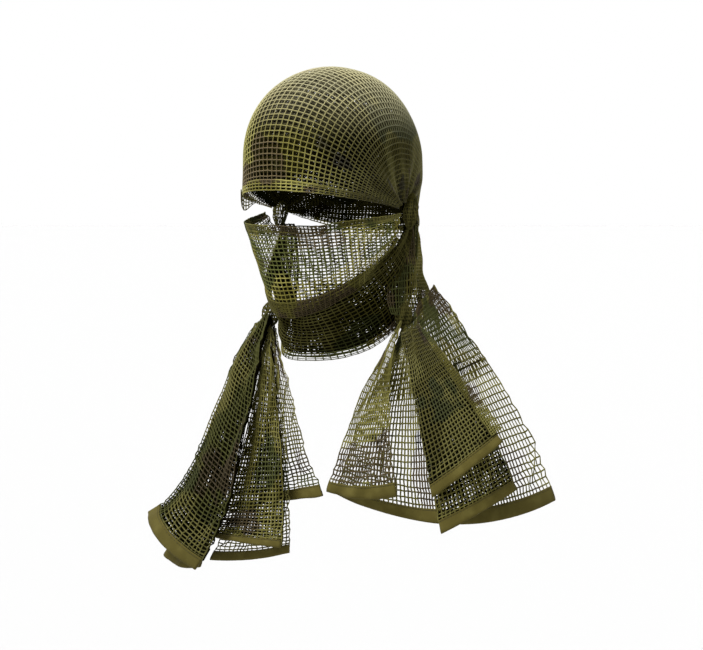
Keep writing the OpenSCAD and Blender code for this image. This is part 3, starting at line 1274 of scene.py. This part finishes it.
@dataclass(frozen=True)
class Binding:
    """Woven tape folded over the end of a lay and stitched through.

    Attributes:
        height: Height of the folded tape.
        thick: Thickness over both sides.
        grip: How far the tape reaches up over the net.
        stitch: Distance between stitches.
        thread: Thickness of the thread.
        seam: How far down the tape the stitches run, as a share of its height.
    """

    height: float = 12.5 * MM
    thick: float = 2.6 * MM
    grip: float = 3 * MM
    stitch: float = 3.1 * MM
    thread: float = 0.5 * MM
    seam: float = 0.13

    def start(self, length: float) -> float:
        """Share of a lay's length at which its tape starts."""
        return 1 - (self.height + self.grip) / length

    def outline(self) -> list[tuple[float, float]]:
        """Cross-section of the folded tape.

        Returns:
            Share of the height and share of half the thickness of each point.
        """
        side = [(0.0, 0.85), (0.03, 1.05), (0.1, 0.8), (0.2, 0.9), (0.45, 1.0), (0.7, 1.0), (0.92, 0.9)]
        return side + [(1.0, 0.3), (1.0, -0.3)] + [(s, -t) for s, t in reversed(side)]

    def build(self, name: str, surface: Surface, length: float, width: float) -> bpy.types.Object:
        """Builds the tape along the bound end of a lay.

        Args:
            name: Name of the piece.
            surface: The lay's surface.
            length: Length of the lay from its top to the end of the tape.
            width: Length of the tape.

        Returns:
            The piece.
        """
        steps = max(24, round(width / (2.2 * MM)))
        outline = self.outline()
        u = np.linspace(0, 1, steps + 1)
        rings = []
        for share, side in outline:
            v = np.full_like(u, mix(self.start(length), 1.0, share))
            wave = 0.25 * MM * ripple(u * 3, v * 2, 11) * share
            base = surface(u, v)
            out = normals_of(surface, u, v)
            rings.append(base + out * (side * self.thick / 2 + wave)[:, None])
        points = np.stack(rings, 1)
        count, around = len(outline), steps + 1
        ident = np.arange(around * count).reshape(around, count)
        nxt = np.roll(ident, -1, axis=1)
        quads = np.stack([ident[:-1], nxt[:-1], nxt[1:], ident[1:]], -1).reshape(-1, 4)
        caps = [ident[0, ::-1].tolist(), ident[-1].tolist()]
        piece = new_piece(name, points.reshape(-1, 3).tolist(), quads.tolist() + caps)
        self.map_tape(piece.data, around, outline, width)
        return piece

    def map_tape(
        self, mesh: bpy.types.Mesh, rings: int, outline: Sequence[tuple[float, float]], width: float
    ) -> None:
        """Maps the tape in its own metres, each side of it side by side.

        Args:
            mesh: The tape's mesh.
            rings: Number of cross-sections along it.
            outline: Its cross-section.
            width: Length of the tape.
        """
        around = len(outline)
        round_way = np.array([s if t > 0 else 2.2 - s for s, t in outline]) * self.height
        along = np.linspace(0, width, rings)
        loops = np.empty(len(mesh.loops), int)
        mesh.loops.foreach_get("vertex_index", loops)
        ring, spot = loops // around, loops % around
        add_maps(mesh, np.stack([along[ring], round_way[spot]], 1))

    def sew(self, name: str, surface: Surface, length: float, width: float) -> bpy.types.Object:
        """Builds the row of stitches on both sides of the tape.

        Args:
            name: Name of the piece.
            surface: The lay's surface.
            length: Length of the lay from its top to the end of the tape.
            width: Length of the tape.

        Returns:
            The piece.
        """
        count = max(6, round(width / self.stitch))
        centre = (np.arange(count) + 0.5) / count
        v = np.full_like(centre, mix(self.start(length), 1.0, self.seam))
        out = normals_of(surface, centre, v)
        along = unit(surface(centre + SLOPE_STEP, v) - surface(centre - SLOPE_STEP, v))
        down = np.cross(out, along)
        base = surface(centre, v)
        points, faces, sides = [], [], 6
        for side in (1, -1):
            for c, o, a, d in zip(base, out * side, along, down):
                first = len(points)
                middle = c + o * (0.46 * self.thick)
                for shift, size in ((-0.42, 0.0), (-0.3, 1.0), (0.3, 1.0), (0.42, 0.0)):
                    for k in range(sides if size else 1):
                        turn = math.tau * k / sides
                        ring = d * math.cos(turn) + o * math.sin(turn)
                        points.append(middle + a * shift * self.stitch + ring * size * self.thread / 2)
                near, far = first + 1, first + 1 + sides
                for k in range(sides):
                    n = (k + 1) % sides
                    faces.append([first, near + n, near + k])
                    faces.append([near + k, near + n, far + n, far + k])
                    faces.append([far + sides, far + k, far + n])
        piece = new_piece(name, [tuple(p) for p in points], faces)
        select_only(piece)
        bpy.ops.object.mode_set(mode="EDIT")
        bpy.ops.mesh.select_all(action="SELECT")
        bpy.ops.mesh.normals_make_consistent(inside=False)
        bpy.ops.object.mode_set(mode="OBJECT")
        return piece


# ---------------------------------------------------------------- workshop


@dataclass
class Workshop:
    """Attributes:
        finishes: Materials by name.
        nets: Nets that wait to be knitted, with the body that each rides on.
        binding: The tape of the bound ends.
        pieces: Knitted pieces by name.
        hems: Tape and stitches of each bound net, by the net's name.
    """

    finishes: dict[str, bpy.types.Material] = field(default_factory=dict)
    nets: list[tuple[Net, str]] = field(default_factory=list)
    binding: Binding = Binding()
    pieces: dict[str, bpy.types.Object] = field(default_factory=dict)
    hems: dict[str, list[bpy.types.Object]] = field(default_factory=dict)

    def prepare(self) -> None:
        """Makes the finishes."""
        # The printed nets are lighter and darker copies of one printed net, and their shade paints the
        # light and shade of the lays: the crown and veil are painted lighter, the crown also paler on top
        # and darker on the ear side, and the neck, the tucks, the right roll, the front flap and the inner
        # and under lays darker, down to near black for lays deep in shade.
        for finish in (
            PrintedNet("net", shade=0.9),
            PrintedNet("veil_net", shade=1.9),
            PrintedNet(
                "crown_net", shade=1.75, sheen=0.1, bleach=0.75, dusk=0.62, black=(0.05, 0.045, 0.018)
            ),
            PrintedNet("crown_deep_net", shade=0.2, sheen=0, shine=0, bleach=0.35, dusk=0.85),
            PrintedNet("neck_net", shade=0.36, sheen=0, shine=0.05),
            PrintedNet("flap_net", shade=0.62, sheen=0.05, black=(0.03, 0.03, 0.012)),
            PrintedNet("roll_net", shade=0.6, olive=(0.07, 0.072, 0.014), black=(0.03, 0.03, 0.012)),
            PrintedNet("shadow_net", shade=0.22, sheen=0, shine=0.05),
            PrintedNet("deep_net", shade=0.06, sheen=0, shine=0),
            PrintedNet("folded_net", shade=0.85),
            WovenTape("end_tape", bump=0.12 * MM, rough=(0.75, 0.92), sheen=0.02),
            Thread("thread", bump=0.05 * MM),
        ):
            self.finishes[finish.name] = finish.material()

    def add(self, net: Net, body: str) -> None:
        """Takes a net to be knitted later.

        Args:
            net: The net.
            body: Body that it rides on; a piece on the veil stays in place, on no body.
        """
        net.make_grid()
        self.nets.append((net, body))

    def settle(self) -> None:
        """Steps the scene so that all the cloth settles together."""
        for step in range(1, SETTLE_FRAMES + 1):
            bpy.context.scene.frame_set(step)

    def knit_all(self) -> None:
        for net, body in self.nets:
            net.take_shape()
            piece = net.knit()
            self.dress(piece, net.finish, net.nodes, body)
            self.pieces[net.name] = piece
            LOG.info("%s: %d by %d meshes", net.name, *net.cells)

    def dress(
        self, piece: bpy.types.Object, finish: str, nodes: Sequence[str], body: str
    ) -> None:
        """Gives a piece its material and its body.

        Args:
            piece: The piece.
            finish: Name of the finish.
            nodes: CAD nodes that it stands for.
            body: Body that it rides on.
        """
        piece.data.materials.append(self.finishes[finish])
        if nodes:
            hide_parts(*nodes)
        if body == "veil":
            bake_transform(piece)
        else:
            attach(piece, body)

    def bind(self, net: Net, body: str, surface: Surface, length: float) -> None:
        """Binds the end of a lay with tape.

        Args:
            net: The lay.
            body: Body that it rides on.
            surface: The lay's surface.
            length: Length of the lay from its top to the end of the tape.
        """
        node = net.name.replace("_net", "").replace("_lay", "") + "_hem"
        width = net.flat[0]
        tape = self.binding.build(node + "_tape", surface, length, width)
        self.dress(tape, "end_tape", (node,), body)
        thread = self.binding.sew(node + "_stitches", surface, length, width)
        self.dress(thread, "thread", (), body)
        self.hems.setdefault(net.name, []).extend([tape, thread])

    def declare(self) -> None:
        """Works out the yarn area of every net, and keeps none of it."""
        for net, _ in self.nets:
            net.yarn_area


# ---------------------------------------------------------------- sub-assemblies


@dataclass
class Cap:
    """The cap over the head with the gathers at its ears.

    Attributes:
        level: Height at which the dome starts.
        ear: Middle of the ear axis.
    """

    level: float = 45 * MM
    ear: Point = (0, 15 * MM, -7 * MM)

    def build(self, shop: Workshop) -> None:
        """Builds the lays of the cap.

        Args:
            shop: The workshop.
        """
        low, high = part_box("crown_outer_lay")
        half = (
            (high.x - low.x) / 2 - SKIN,
            (high.y - low.y) / 2 - SKIN,
            high.z - self.level - SKIN,
        )
        outer = Dome(half, self.level, self.ear, inset=0.4 * MM, end=14.5)
        shop.add(
            Net(
                "crown_outer_net", ("crown_outer_lay",), outer, (0.31, 0.335), Run.ACROSS, (0.62, 0.1),
                gauge=CROWN_GAUGE, finish="crown_net",
            ),
            "wrap",
        )
        # The two inner lays are painted dark as shade behind the outer net, paler towards the top and
        # darker on the ear side.
        for name, nodes, inset, start, end, place, seed in (
            ("crown_inner_net", ("crown_inner_lay",), 2.6 * MM, 193, 19, (1.31, 0.42), 8),
            ("crown_lining_net", (), 4.6 * MM, 190, 21, (0.33, 0.22), 14),
        ):
            lay = Dome(
                half, self.level, self.ear, inset=inset, start=start, end=end, ridge=2.2 * MM,
                seed=seed, twist=seed - 5,
            )
            shop.add(
                Net(
                    name, nodes, lay, (0.30, 0.32), Run.ACROSS, place, gauge=LINING_GAUGE,
                    finish="crown_deep_net",
                ),
                "wrap",
            )
        brow = Dome(half, self.level, self.ear, inset=0.2 * MM, start=15, end=10.2, ridge=0.8 * MM, seed=8)
        shop.add(
            Net(
                "brow_band_net", ("brow_band",), brow, (0.30, 0.012), Run.ACROSS, (0.62, 0.44),
                gauge=BROW_GAUGE, slot="folded_net", held="stretched", finish="crown_net",
            ),
            "wrap",
        )
        self.temple_fold(shop, half)
        for side, label in ((1, "left"), (-1, "right")):
            low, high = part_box(f"{label}_temple_gather")
            centre = tuple((low + high) / 2)
            gather = Bunch(centre, (high.x - low.x) / 2, high.z - low.z, folds=6, lean=5 * MM)
            # The gathers are painted darker, as shade.
            shop.add(
                Net(
                    f"{label}_temple_gather_net", (f"{label}_temple_gather",), gather, (0.07, 0.04),
                    Run.DOWN, (0.52 + 0.3 * side, 0.1), gauge=THIN_GAUGE, finish="neck_net",
                    slot="folded_net", held="gathered",
                ),
                "wrap",
            )

    def temple_fold(self, shop: Workshop, half: Point) -> None:
        """Builds the loose fold that hangs at the right temple.

        Args:
            shop: The workshop.
            half: Half sizes of the cap.
        """
        dome = Dome(
            half, self.level, self.ear, inset=-1.2 * MM, start=13, end=4, reach=(-66, -32), ridge=0
        )

        def fold(u: np.ndarray, v: np.ndarray) -> np.ndarray:
            """Points of the loose fold."""
            u = np.asarray(u, float)
            depth = np.asarray(v, float) * np.sin(math.pi * np.clip(u, 0.04, 0.96)) ** 0.7
            curl = rows_of(0, 0, 1) * (5 * MM * depth**2)[:, None]
            return dome(u, depth) - curl

        shop.add(
            Net(
                "right_temple_fold_net", ("right_temple_fold",), fold, (0.05, 0.022), Run.ACROSS,
                (0.64, 0.46),
            ),
            "wrap",
        )


@dataclass
class FaceVeil:
    """The veil over the nose, mouth and chin.

    Attributes:
        drop: Level of its top edge and of its chin fold at the front, below the ears.
        chin: How far the chin fold stands forward, and half its width.
    """

    drop: tuple[float, float] = (23 * MM, 108 * MM)
    chin: tuple[float, float] = (70 * MM, 72 * MM)

    def build(self, shop: Workshop) -> None:
        """Builds the veil with its edges.

        Args:
            shop: The workshop.
        """
        low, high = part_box("veil_selvedge")
        veil = Veil(
            front=(-low.y - 1.8 * MM, self.chin[0]),
            drop=self.drop,
            half=(high.x - 1.2 * MM, self.chin[1]),
        )
        shop.add(
            Net(
                "face_veil_net", ("face_veil",), veil, (0.31, 0.092), Run.ACROSS, (1.02, 0.16),
                span=(0.055, 1.0), held="stretched", finish="veil_net",
            ),
            "veil",
        )
        shop.add(
            Net(
                "veil_selvedge_net", ("veil_selvedge",), veil, (0.31, 0.011), Run.ACROSS, (1.02, 0.14),
                gauge=VEIL_EDGE_GAUGE, span=(-0.02, 0.085), finish="folded_net", slot="folded_net",
                held="stretched",
            ),
            "veil",
        )
        # The chin fold, and a lay under it painted near-black as shade.
        for name, nodes, lift, across, finish in (
            ("chin_fold_net", ("chin_fold",), 0.8 * MM, 0.25, "folded_net"),
            ("chin_fold_under_net", (), -0.9 * MM, 0.35, "deep_net"),
        ):
            shop.add(
                Net(
                    name, nodes, replace(veil, lift=lift), (0.28, 0.018), Run.ACROSS, (1.24, across),
                    gauge=FOLD_GAUGE, span=(0.89, 1.06), finish=finish, slot="folded_net", held="folded",
                ),
                "veil",
            )


@dataclass
class NeckWrap:
    """The turns round the neck and the lays that fall over the nape and cheeks.

    Attributes:
        hidden_edge: Level of the inner turn's lower edge at the back.
        drape: Levels of the top and bottom edge of the lay over the nape.
        crossing: Levels of the top and bottom edge of the lay that crosses behind the neck.
        cheek_widths: Flat widths of the left and the right cheek's lay.
    """

    hidden_edge: float = -121 * MM
    drape: tuple[float, float] = (-24 * MM, -116 * MM)
    crossing: tuple[float, float] = (-84 * MM, -124 * MM)
    cheek_widths: tuple[float, float] = (0.06, 0.026)

    def build(self, shop: Workshop) -> None:
        """Builds the turns of the neck wrap.

        Args:
            shop: The workshop.
        """
        low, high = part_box("neck_wrap_inner")
        radius = (high.x - low.x) / 2 - SKIN
        centre = (high.y + low.y) / 2
        inner = Ring(
            angles=(-180, 180), back=(centre, centre), wide=(radius, radius), deep=(radius, radius),
            top=(high.z, high.z), bottom=(low.z + 2 * MM, self.hidden_edge), pleat=0.3 * MM,
        )
        # The inner turn is painted near-black, as shade.
        shop.add(
            Net(
                "neck_wrap_inner_net", ("neck_wrap_inner",), inner, (0.38, 0.041), Run.ACROSS,
                (0.1, 0.5), gauge=LINING_GAUGE, finish="deep_net",
            ),
            "wrap",
        )
        # The outer turn is painted darker as shade, and the two turns inside it near-black.
        for name, nodes, inset, finish, place, lean, first, width in (
            ("neck_wrap_outer_net", ("neck_wrap_outer",), 0.0, "neck_net", (0.05, 0.1), 0.0, 0.0, 0.34),
            ("neck_wrap_middle_net", (), 2.4 * MM, "deep_net", (0.42, 0.33), 0.12, 0.17, 0.28),
            ("neck_wrap_lining_net", (), 4.4 * MM, "deep_net", (1.42, 0.53), -0.1, 0.17, 0.28),
        ):
            turn = Collar(inset=inset, lean=lean, seed=len(name), part=(first, 1))
            shop.add(
                Net(
                    name, nodes, turn, (width, 0.078), Run.ACROSS, place,
                    gauge=LINING_GAUGE if inset else NECK_GAUGE, finish=finish,
                    span=(0, 0.9 if inset else 0.95),
                ),
                "wrap",
            )
        edge = Collar(inset=-0.3 * MM, seed=19)
        shop.add(
            Net(
                "neck_wrap_upper_fold_net", ("neck_wrap_upper_fold",), edge, (0.32, 0.012), Run.ACROSS,
                (0.05, 0.1), gauge=FOLD_GAUGE, span=(-0.1, 0.08), finish="neck_net", slot="folded_net",
                held="folded",
            ),
            "wrap",
        )
        shop.add(
            Net(
                "neck_wrap_selvedge_net", ("neck_wrap_selvedge",), edge, (0.36, 0.0105), Run.ACROSS,
                (0.05, 0.17), gauge=NECK_EDGE_GAUGE, span=(0.9, 1.03), slot="folded_net", held="folded",
            ),
            "wrap",
        )
        self.nape(shop)
        self.cheeks(shop)

    def nape(self, shop: Workshop) -> None:
        """Builds the lays behind the neck.

        Args:
            shop: The workshop.
        """
        top, bottom = self.drape
        drape = Ring(
            angles=(92, 268), back=(14 * MM, 40 * MM), wide=(75 * MM, 78 * MM), deep=(78 * MM, 71 * MM),
            top=(top, top), bottom=(bottom, bottom), flare=6 * MM, pleat=1.6 * MM, rows=1.4, seed=6,
        )
        shop.add(
            Net(
                "nape_drape_net", ("nape_drape",), drape, (0.275, 0.094), Run.ACROSS, (0.9, 0.2),
                gauge=DENSE_GAUGE, held="gathered",
            ),
            "wrap",
        )
        top, bottom = self.crossing
        crossing = Ring(
            angles=(108, 252), back=(38 * MM, 38 * MM), wide=(70 * MM, 70 * MM), deep=(65 * MM, 65 * MM),
            top=(top, top), bottom=(bottom, bottom), pleat=1.2 * MM, rows=2, seed=2,
        )
        # The crossing behind the neck is painted near-black, as shade.
        shop.add(
            Net(
                "nape_crossing_net", ("nape_crossing",), crossing, (0.19, 0.045), Run.ACROSS, (0.3, 0.2),
                finish="deep_net",
            ),
            "wrap",
        )

    def cheeks(self, shop: Workshop) -> None:
        """Builds the lays from the ears down to the sides of the neck.

        Args:
            shop: The workshop.
        """
        front = ((73, 27, -24), (67.5, 13, -54), (68, 4, -84), (75, 2, -110))
        near = ((80, 27, -24), (78, 22, -54), (77, 20, -84), (80, 14, -110))
        back = ((82, 27, -18), (81, 32, -48), (82, 33, -80), (84, 24, -112))
        for side, label, first, width in (
            (1, "left", front, self.cheek_widths[0]),
            (-1, "right", near, self.cheek_widths[1]),
        ):
            edges = [tuple((side * x, y, z) for x, y, z in edge) for edge in (first, back)]
            left, right = edges[::side]
            pleats = Pleats(2, 0.8 * MM, 0.8 * MM, 0.3, 3)
            lay = Hanging(left, right, face=(side, 0, 0), bow=2, sag=0, pleats=pleats)
            shop.add(
                Net(
                    f"{label}_cheek_net", (f"{label}_cheek_lay",), lay, (width, 0.092), Run.DOWN,
                    (0.5, 0.3), held="folded",
                ),
                "wrap",
            )


@dataclass(frozen=True)
class TailLay:
    """One lay of a hanging end.

    Attributes:
        node: The CAD node of its net.
        edges: Its two edges, in millimetres.
        face: Level direction that it faces.
        bow: How far it bows outwards, in millimetres.
        sag: How far its lower edge sags.
        width: Flat width at the bound end.
        length: Length from its top to the end of the tape.
        pleats: Folds of the net.
        place: Where it lies on the flat scarf.
        behind: How many more lays of net lie behind it.
        behind_finish: Finish of those lays, by default near-black painted shade.
        finish: Finish of the lay itself.
        gauge: Gauge of the lay.
        reach: How far down the lays behind reach, as a share of the lay.
    """

    node: str
    edges: tuple[Sequence[Point], Sequence[Point]]
    face: Point
    bow: float
    sag: float
    width: float
    length: float
    pleats: Pleats
    place: tuple[float, float]
    behind: int = 0
    behind_finish: str = "deep_net"
    finish: str = "net"
    gauge: Knit = SQUARE_GAUGE
    reach: float = 1.0

    def surface(self) -> Hanging:
        """The lay's surface."""
        left, right = self.edges
        return Hanging(left, right, self.face, self.bow, self.sag, self.pleats)


RIGHT_FACE: Point = (-0.3, -0.95, 0)
INNER_FACE: Point = (0.1, -0.99, 0)
LEFT_FACE: Point = (0.7, -0.72, 0)
CHEST_FACE: Point = (0.25, -0.97, 0)


@dataclass
class HangingEnd:
    """A bound end of the scarf hanging from its tuck.

    Attributes:
        tuck: CAD node of the tuck.
        lays: Its lays with the body of each.
    """

    tuck: str
    lays: Sequence[tuple[TailLay, str]]

    def build(self, shop: Workshop) -> None:
        """Builds the tuck and the lays.

        Args:
            shop: The workshop.
        """
        low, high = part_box(self.tuck)
        body = self.tuck.replace("_tuck", "_tail")
        bunch = Bunch(tuple((low + high) / 2), (high.x - low.x) / 2, high.z - low.z, folds=5)
        # The tuck is painted darker, as shade in its hollow.
        shop.add(
            Net(
                self.tuck + "_net", (self.tuck,), bunch, (0.069, 0.031), Run.DOWN, (0.52, 0.1),
                gauge=LINING_GAUGE, finish="neck_net", slot="folded_net", held="gathered",
            ),
            body,
        )
        for lay, rides in self.lays:
            self.hang(shop, lay, rides)

    @staticmethod
    def hang(shop: Workshop, lay: TailLay, body: str) -> None:
        """Builds one lay with its binding.

        Args:
            shop: The workshop.
            lay: The lay.
            body: Body that it rides on.
        """
        surface = lay.surface()
        end = 1 - shop.binding.height / lay.length
        net = Net(
            lay.node + "_net", (lay.node,), surface, (lay.width, lay.length * end), Run.DOWN, lay.place,
            span=(0.0, end), settle=SETTLE_REACH, held="hung", finish=lay.finish, gauge=lay.gauge,
        )
        shop.add(net, body)
        along, across = lay.place
        flat = (lay.width * (0.26 + 0.58 * lay.reach), lay.length * end * lay.reach)
        # The lays behind are painted darker as shade, by default near-black.
        for index in range(lay.behind):
            under = replace(surface, lift=-LAY_GAP * (index + 1), skew=0.08 * (-1) ** index)
            shop.add(
                Net(
                    f"{lay.node}_under_{index + 1}_net", (), under, flat, Run.DOWN,
                    (along + 0.43 + 0.3 * index, across + 0.21), span=(0.0, end * lay.reach),
                    gauge=LINING_GAUGE if lay.behind_finish == "deep_net" else lay.gauge,
                    settle=SETTLE_REACH, held="hung", finish=lay.behind_finish,
                ),
                body,
            )
        shop.bind(net, body, surface, lay.length)


def right_end() -> HangingEnd:
    """The end that hangs on the wearer's right.

    Returns:
        The end.
    """
    outer = TailLay(
        "right_tail_outer_lay",
        (
            ((-86, 2, -111), (-90, -58, -172), (-107, -84, -248), (-167, -88, -308)),
            ((-74, -6, -114), (-33, -88, -200), (-40, -108, -290), (-84, -107, -367)),
        ),
        RIGHT_FACE, bow=12, sag=4, width=0.092, length=0.265,
        pleats=Pleats(1.4, 2.0 * MM, 1.6 * MM, 0.35, 2), place=(0.0, 0.0), behind=2,
        finish="roll_net", gauge=ROLL_GAUGE,
    )
    back = TailLay(
        "right_tail_back_lay",
        (
            ((-86, 12, -114), (-88, -38, -172), (-108, -64, -262), (-157, -70, -357)),
            ((-81, 8, -119), (-60, -54, -186), (-72, -84, -280), (-104, -84, -365)),
        ),
        RIGHT_FACE, bow=3, sag=4, width=0.069, length=0.285,
        pleats=Pleats(1.6, 1.5 * MM, 1.5 * MM, 0.5, 4), place=(0.0, 0.13), behind=1,
    )
    middle = TailLay(
        "right_tail_middle_lay",
        (
            ((-80, -3, -118), (-48, -70, -205), (-56, -90, -286), (-74, -93, -333)),
            ((-75, -5, -122), (-12, -69, -205), (7, -84, -282), (8, -88, -341)),
        ),
        INNER_FACE, bow=6, sag=0, width=0.077, length=0.27,
        pleats=Pleats(2.0, 1.5 * MM, 1.3 * MM, 0.3, 5), place=(0.0, 0.22), behind=1,
    )
    turned = TailLay(
        "right_tail_return_lay",
        (
            ((-79, -1, -122), (-50, -58, -206), (-62, -77, -290), (-90, -79, -357)),
            ((-73, -3, -126), (-12, -59, -206), (4, -72, -285), (8, -75, -346)),
        ),
        INNER_FACE, bow=3, sag=3, width=0.082, length=0.27,
        pleats=Pleats(1.6, 1.2 * MM, 1.2 * MM, 0.3, 6), place=(0.0, 0.33),
    )
    inner = TailLay(
        "right_tail_inner_lay",
        (
            ((-80, 8, -124), (-44, -45, -188), (-36, -62, -250), (-38, -66, -296)),
            ((-76, 6, -130), (-10, -50, -190), (12, -56, -240), (38, -60, -289)),
        ),
        INNER_FACE, bow=0, sag=2, width=0.067, length=0.215,
        pleats=Pleats(1.8, 1.2 * MM, 1.5 * MM, 0.3, 7), place=(0.0, 0.41),
    )
    body = "right_tail"
    return HangingEnd("right_tuck", [(lay, body) for lay in (outer, back, middle, turned, inner)])


def left_end() -> HangingEnd:
    """The end that hangs on the wearer's left, with its two lifted flaps.

    Returns:
        The end.
    """
    chest = TailLay(
        "left_tail_chest_lay",
        (
            ((81, 8, -117), (77, -36, -168), (70, -70, -230), (58, -80, -283)),
            ((83, 8, -118), (104, -36, -168), (124, -62, -225), (139, -70, -286)),
        ),
        CHEST_FACE, bow=6, sag=5, width=0.081, length=0.205,
        pleats=Pleats(1.5, 1.0 * MM, 1.3 * MM, 0.15, 8), place=(1.68, 0.0),
        gauge=LONG_GAUGE,
    )
    shoulder = TailLay(
        "left_tail_shoulder_lay",
        (
            ((82, 17, -117), (79, -24, -170), (71, -58, -232), (59, -68, -286)),
            ((98, 42, -82), (133, 57, -134), (185, 68, -212), (219, 78, -294)),
        ),
        LEFT_FACE, bow=48, sag=24, width=0.258, length=0.25,
        pleats=Pleats(2.6, 1.3 * MM, 1.9 * MM, 0.2, 9), place=(1.66, 0.12), behind=1,
        behind_finish="shadow_net", gauge=LONG_GAUGE, reach=0.5,
    )
    middle = TailLay(
        "left_middle_flap",
        (
            ((94, 3, -131), (129, -24, -185), (156, -42, -253), (175, -46, -322)),
            ((107, 13, -124), (162, -6, -165), (197, 2, -225), (223, 8, -281)),
        ),
        LEFT_FACE, bow=12, sag=0, width=0.088, length=0.235,
        pleats=Pleats(1.6, 1.2 * MM, 1.3 * MM, 0.2, 10), place=(1.69, 0.42), behind=1,
    )
    front = TailLay(
        "left_front_flap",
        (
            ((95, -8, -128), (128, -36, -178), (156, -54, -232), (172, -57, -286)),
            ((109, 2, -119), (163, -26, -155), (196, -20, -195), (224, -14, -232)),
        ),
        LEFT_FACE, bow=10, sag=0, width=0.084, length=0.2,
        pleats=Pleats(1.2, 1.2 * MM, 1.1 * MM, 0.1, 11), place=(0.30, 0.1), behind=2,
        finish="flap_net",
    )
    return HangingEnd(
        "left_tuck",
        [
            (chest, "left_tail"),
            (shoulder, "left_tail"),
            (middle, "left_middle_lay"),
            (front, "left_front_lay"),
        ],
    )


@dataclass
class FlapSelvedge:
    """The folded long edge of the scarf down the side of the front flap.

    Attributes:
        across: Places across the flap between which it lies.
        down: Places down the flap between which it runs.
        flat: Its flat size.
        off: How far it stands off the flap.
    """

    across: tuple[float, float] = (0.93, 1.08)
    down: tuple[float, float] = (0.05, 0.91)
    flat: tuple[float, float] = (0.012, 0.165)
    off: float = 1.3 * MM

    def build(self, shop: Workshop) -> None:
        """Builds the folded edge.

        Args:
            shop: The workshop.
        """
        front, body = left_end().lays[-1]
        surface = front.surface()

        def strip(u: np.ndarray, v: np.ndarray) -> np.ndarray:
            """Points of the folded edge."""
            return surface.plain(mix(*self.across, u), v) + self.off * np.array(front.face)

        shop.add(
            Net(
                "left_front_flap_selvedge_net", ("left_front_flap_selvedge",), strip, self.flat,
                Run.DOWN, (1.7, 0.66), gauge=FLAP_EDGE_GAUGE, span=self.down, finish="folded_net",
                slot="folded_net", held="folded",
            ),
            body,
        )


# ---------------------------------------------------------------- studio


@dataclass
class Studio:
    """Floor, lights and camera.

    Attributes:
        azimuth: Camera's angle round the object, in degrees.
        elevation: Camera's angle above the horizon.
        distance: Camera's distance.
        width: Width of the picture at the head.
        aim: Point that the camera looks at.
        sensor: Width of the camera's sensor, in millimetres.
        ground: Height of the floor.
    """

    azimuth: float = 38.0
    elevation: float = 1.5
    distance: float = 6.0
    width: float = 0.703
    aim: Point = (0.0162, 0.0126, -0.122)
    sensor: float = 36.0
    ground: float = -0.6

    def build(self) -> None:
        """Builds the studio."""
        self.floor()
        self.lights()
        self.camera()

    def floor(self) -> None:
        """Adds the wide pale floor, below the object."""
        bpy.ops.object.select_all(action="DESELECT")
        bpy.ops.mesh.primitive_circle_add(
            vertices=64, radius=60, fill_type="NGON", location=(0, 0, self.ground)
        )
        floor = bpy.context.active_object
        floor.name = "floor"
        tree = Tree("floor")
        shader = tree.node(
            "BsdfPrincipled",
            inputs={"Base Color": (0.46, 0.46, 0.46), "Roughness": 0.9, "Specular IOR Level": 0.1},
        )
        tree.node("OutputMaterial", inputs={0: shader.outputs[0]})
        floor.data.materials.append(tree.material)

    def lights(self) -> None:
        """Adds the soft lights and the white surroundings."""
        scene = bpy.context.scene
        world = bpy.data.worlds.new("studio")
        world.use_nodes = True
        nodes, links = world.node_tree.nodes, world.node_tree.links
        place = nodes.new("ShaderNodeTexCoord")
        parts = nodes.new("ShaderNodeSeparateXYZ")
        band = nodes.new("ShaderNodeMapRange")
        band.interpolation_type = "SMOOTHSTEP"
        for index, value in ((1, 0.42), (2, 0.62), (3, 1.0), (4, 0.4)):
            band.inputs[index].default_value = value
        links.new(place.outputs["Generated"], parts.inputs[0])
        links.new(parts.outputs["Z"], band.inputs[0])
        links.new(band.outputs[0], nodes["Background"].inputs["Strength"])
        nodes["Background"].inputs["Color"].default_value = (1, 1, 1, 1)
        scene.world = world
        scene.view_settings.view_transform = "Standard"
        for name, azimuth, elevation, strength, spread in (
            ("key", -16, 58, 5.2, 30),
            ("rear", 200, 40, 0.8, 60),
        ):
            bpy.ops.object.light_add(type="SUN", location=tuple(3 * heading(azimuth, elevation)))
            lamp = bpy.context.active_object
            lamp.name = name
            lamp.data.energy = strength
            lamp.data.angle = math.radians(spread)
            lamp.rotation_mode = "QUATERNION"
            lamp.rotation_quaternion = (-lamp.location).to_track_quat("-Z", "Y")

    def camera(self) -> None:
        """Adds the camera at the viewing angle."""
        back = heading(self.azimuth, self.elevation) * self.distance
        bpy.ops.object.camera_add(location=tuple(np.array(self.aim) + back))
        camera = bpy.context.active_object
        camera.data.sensor_width = self.sensor
        camera.data.lens = self.sensor * self.distance / self.width
        camera.data.clip_end = 100
        camera.rotation_euler = (math.radians(90 - self.elevation), 0, math.radians(self.azimuth))
        bpy.context.scene.camera = camera


def corners(pair: Sequence[Any]) -> list[list[float]]:
    """A pair of corners as plain lists of numbers."""
    return [[float(c) for c in corner] for corner in pair]


def main() -> None:
    """Builds the scarf and the studio."""
    logging.basicConfig(level=logging.INFO, format="%(message)s")
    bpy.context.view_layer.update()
    Studio().build()
    shop = Workshop()
    shop.prepare()
    for assembly in (Cap(), FaceVeil(), NeckWrap(), right_end(), left_end(), FlapSelvedge()):
        assembly.build(shop)
        LOG.info("%s laid out", type(assembly).__name__)
    shop.settle()
    shop.knit_all()
    shop.declare()


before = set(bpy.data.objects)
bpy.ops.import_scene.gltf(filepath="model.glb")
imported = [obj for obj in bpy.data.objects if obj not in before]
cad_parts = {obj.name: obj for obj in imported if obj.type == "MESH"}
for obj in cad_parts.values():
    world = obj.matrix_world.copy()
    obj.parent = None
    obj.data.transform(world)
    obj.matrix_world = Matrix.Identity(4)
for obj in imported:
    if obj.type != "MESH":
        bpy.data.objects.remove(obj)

if __name__ == "__main__":
    main()
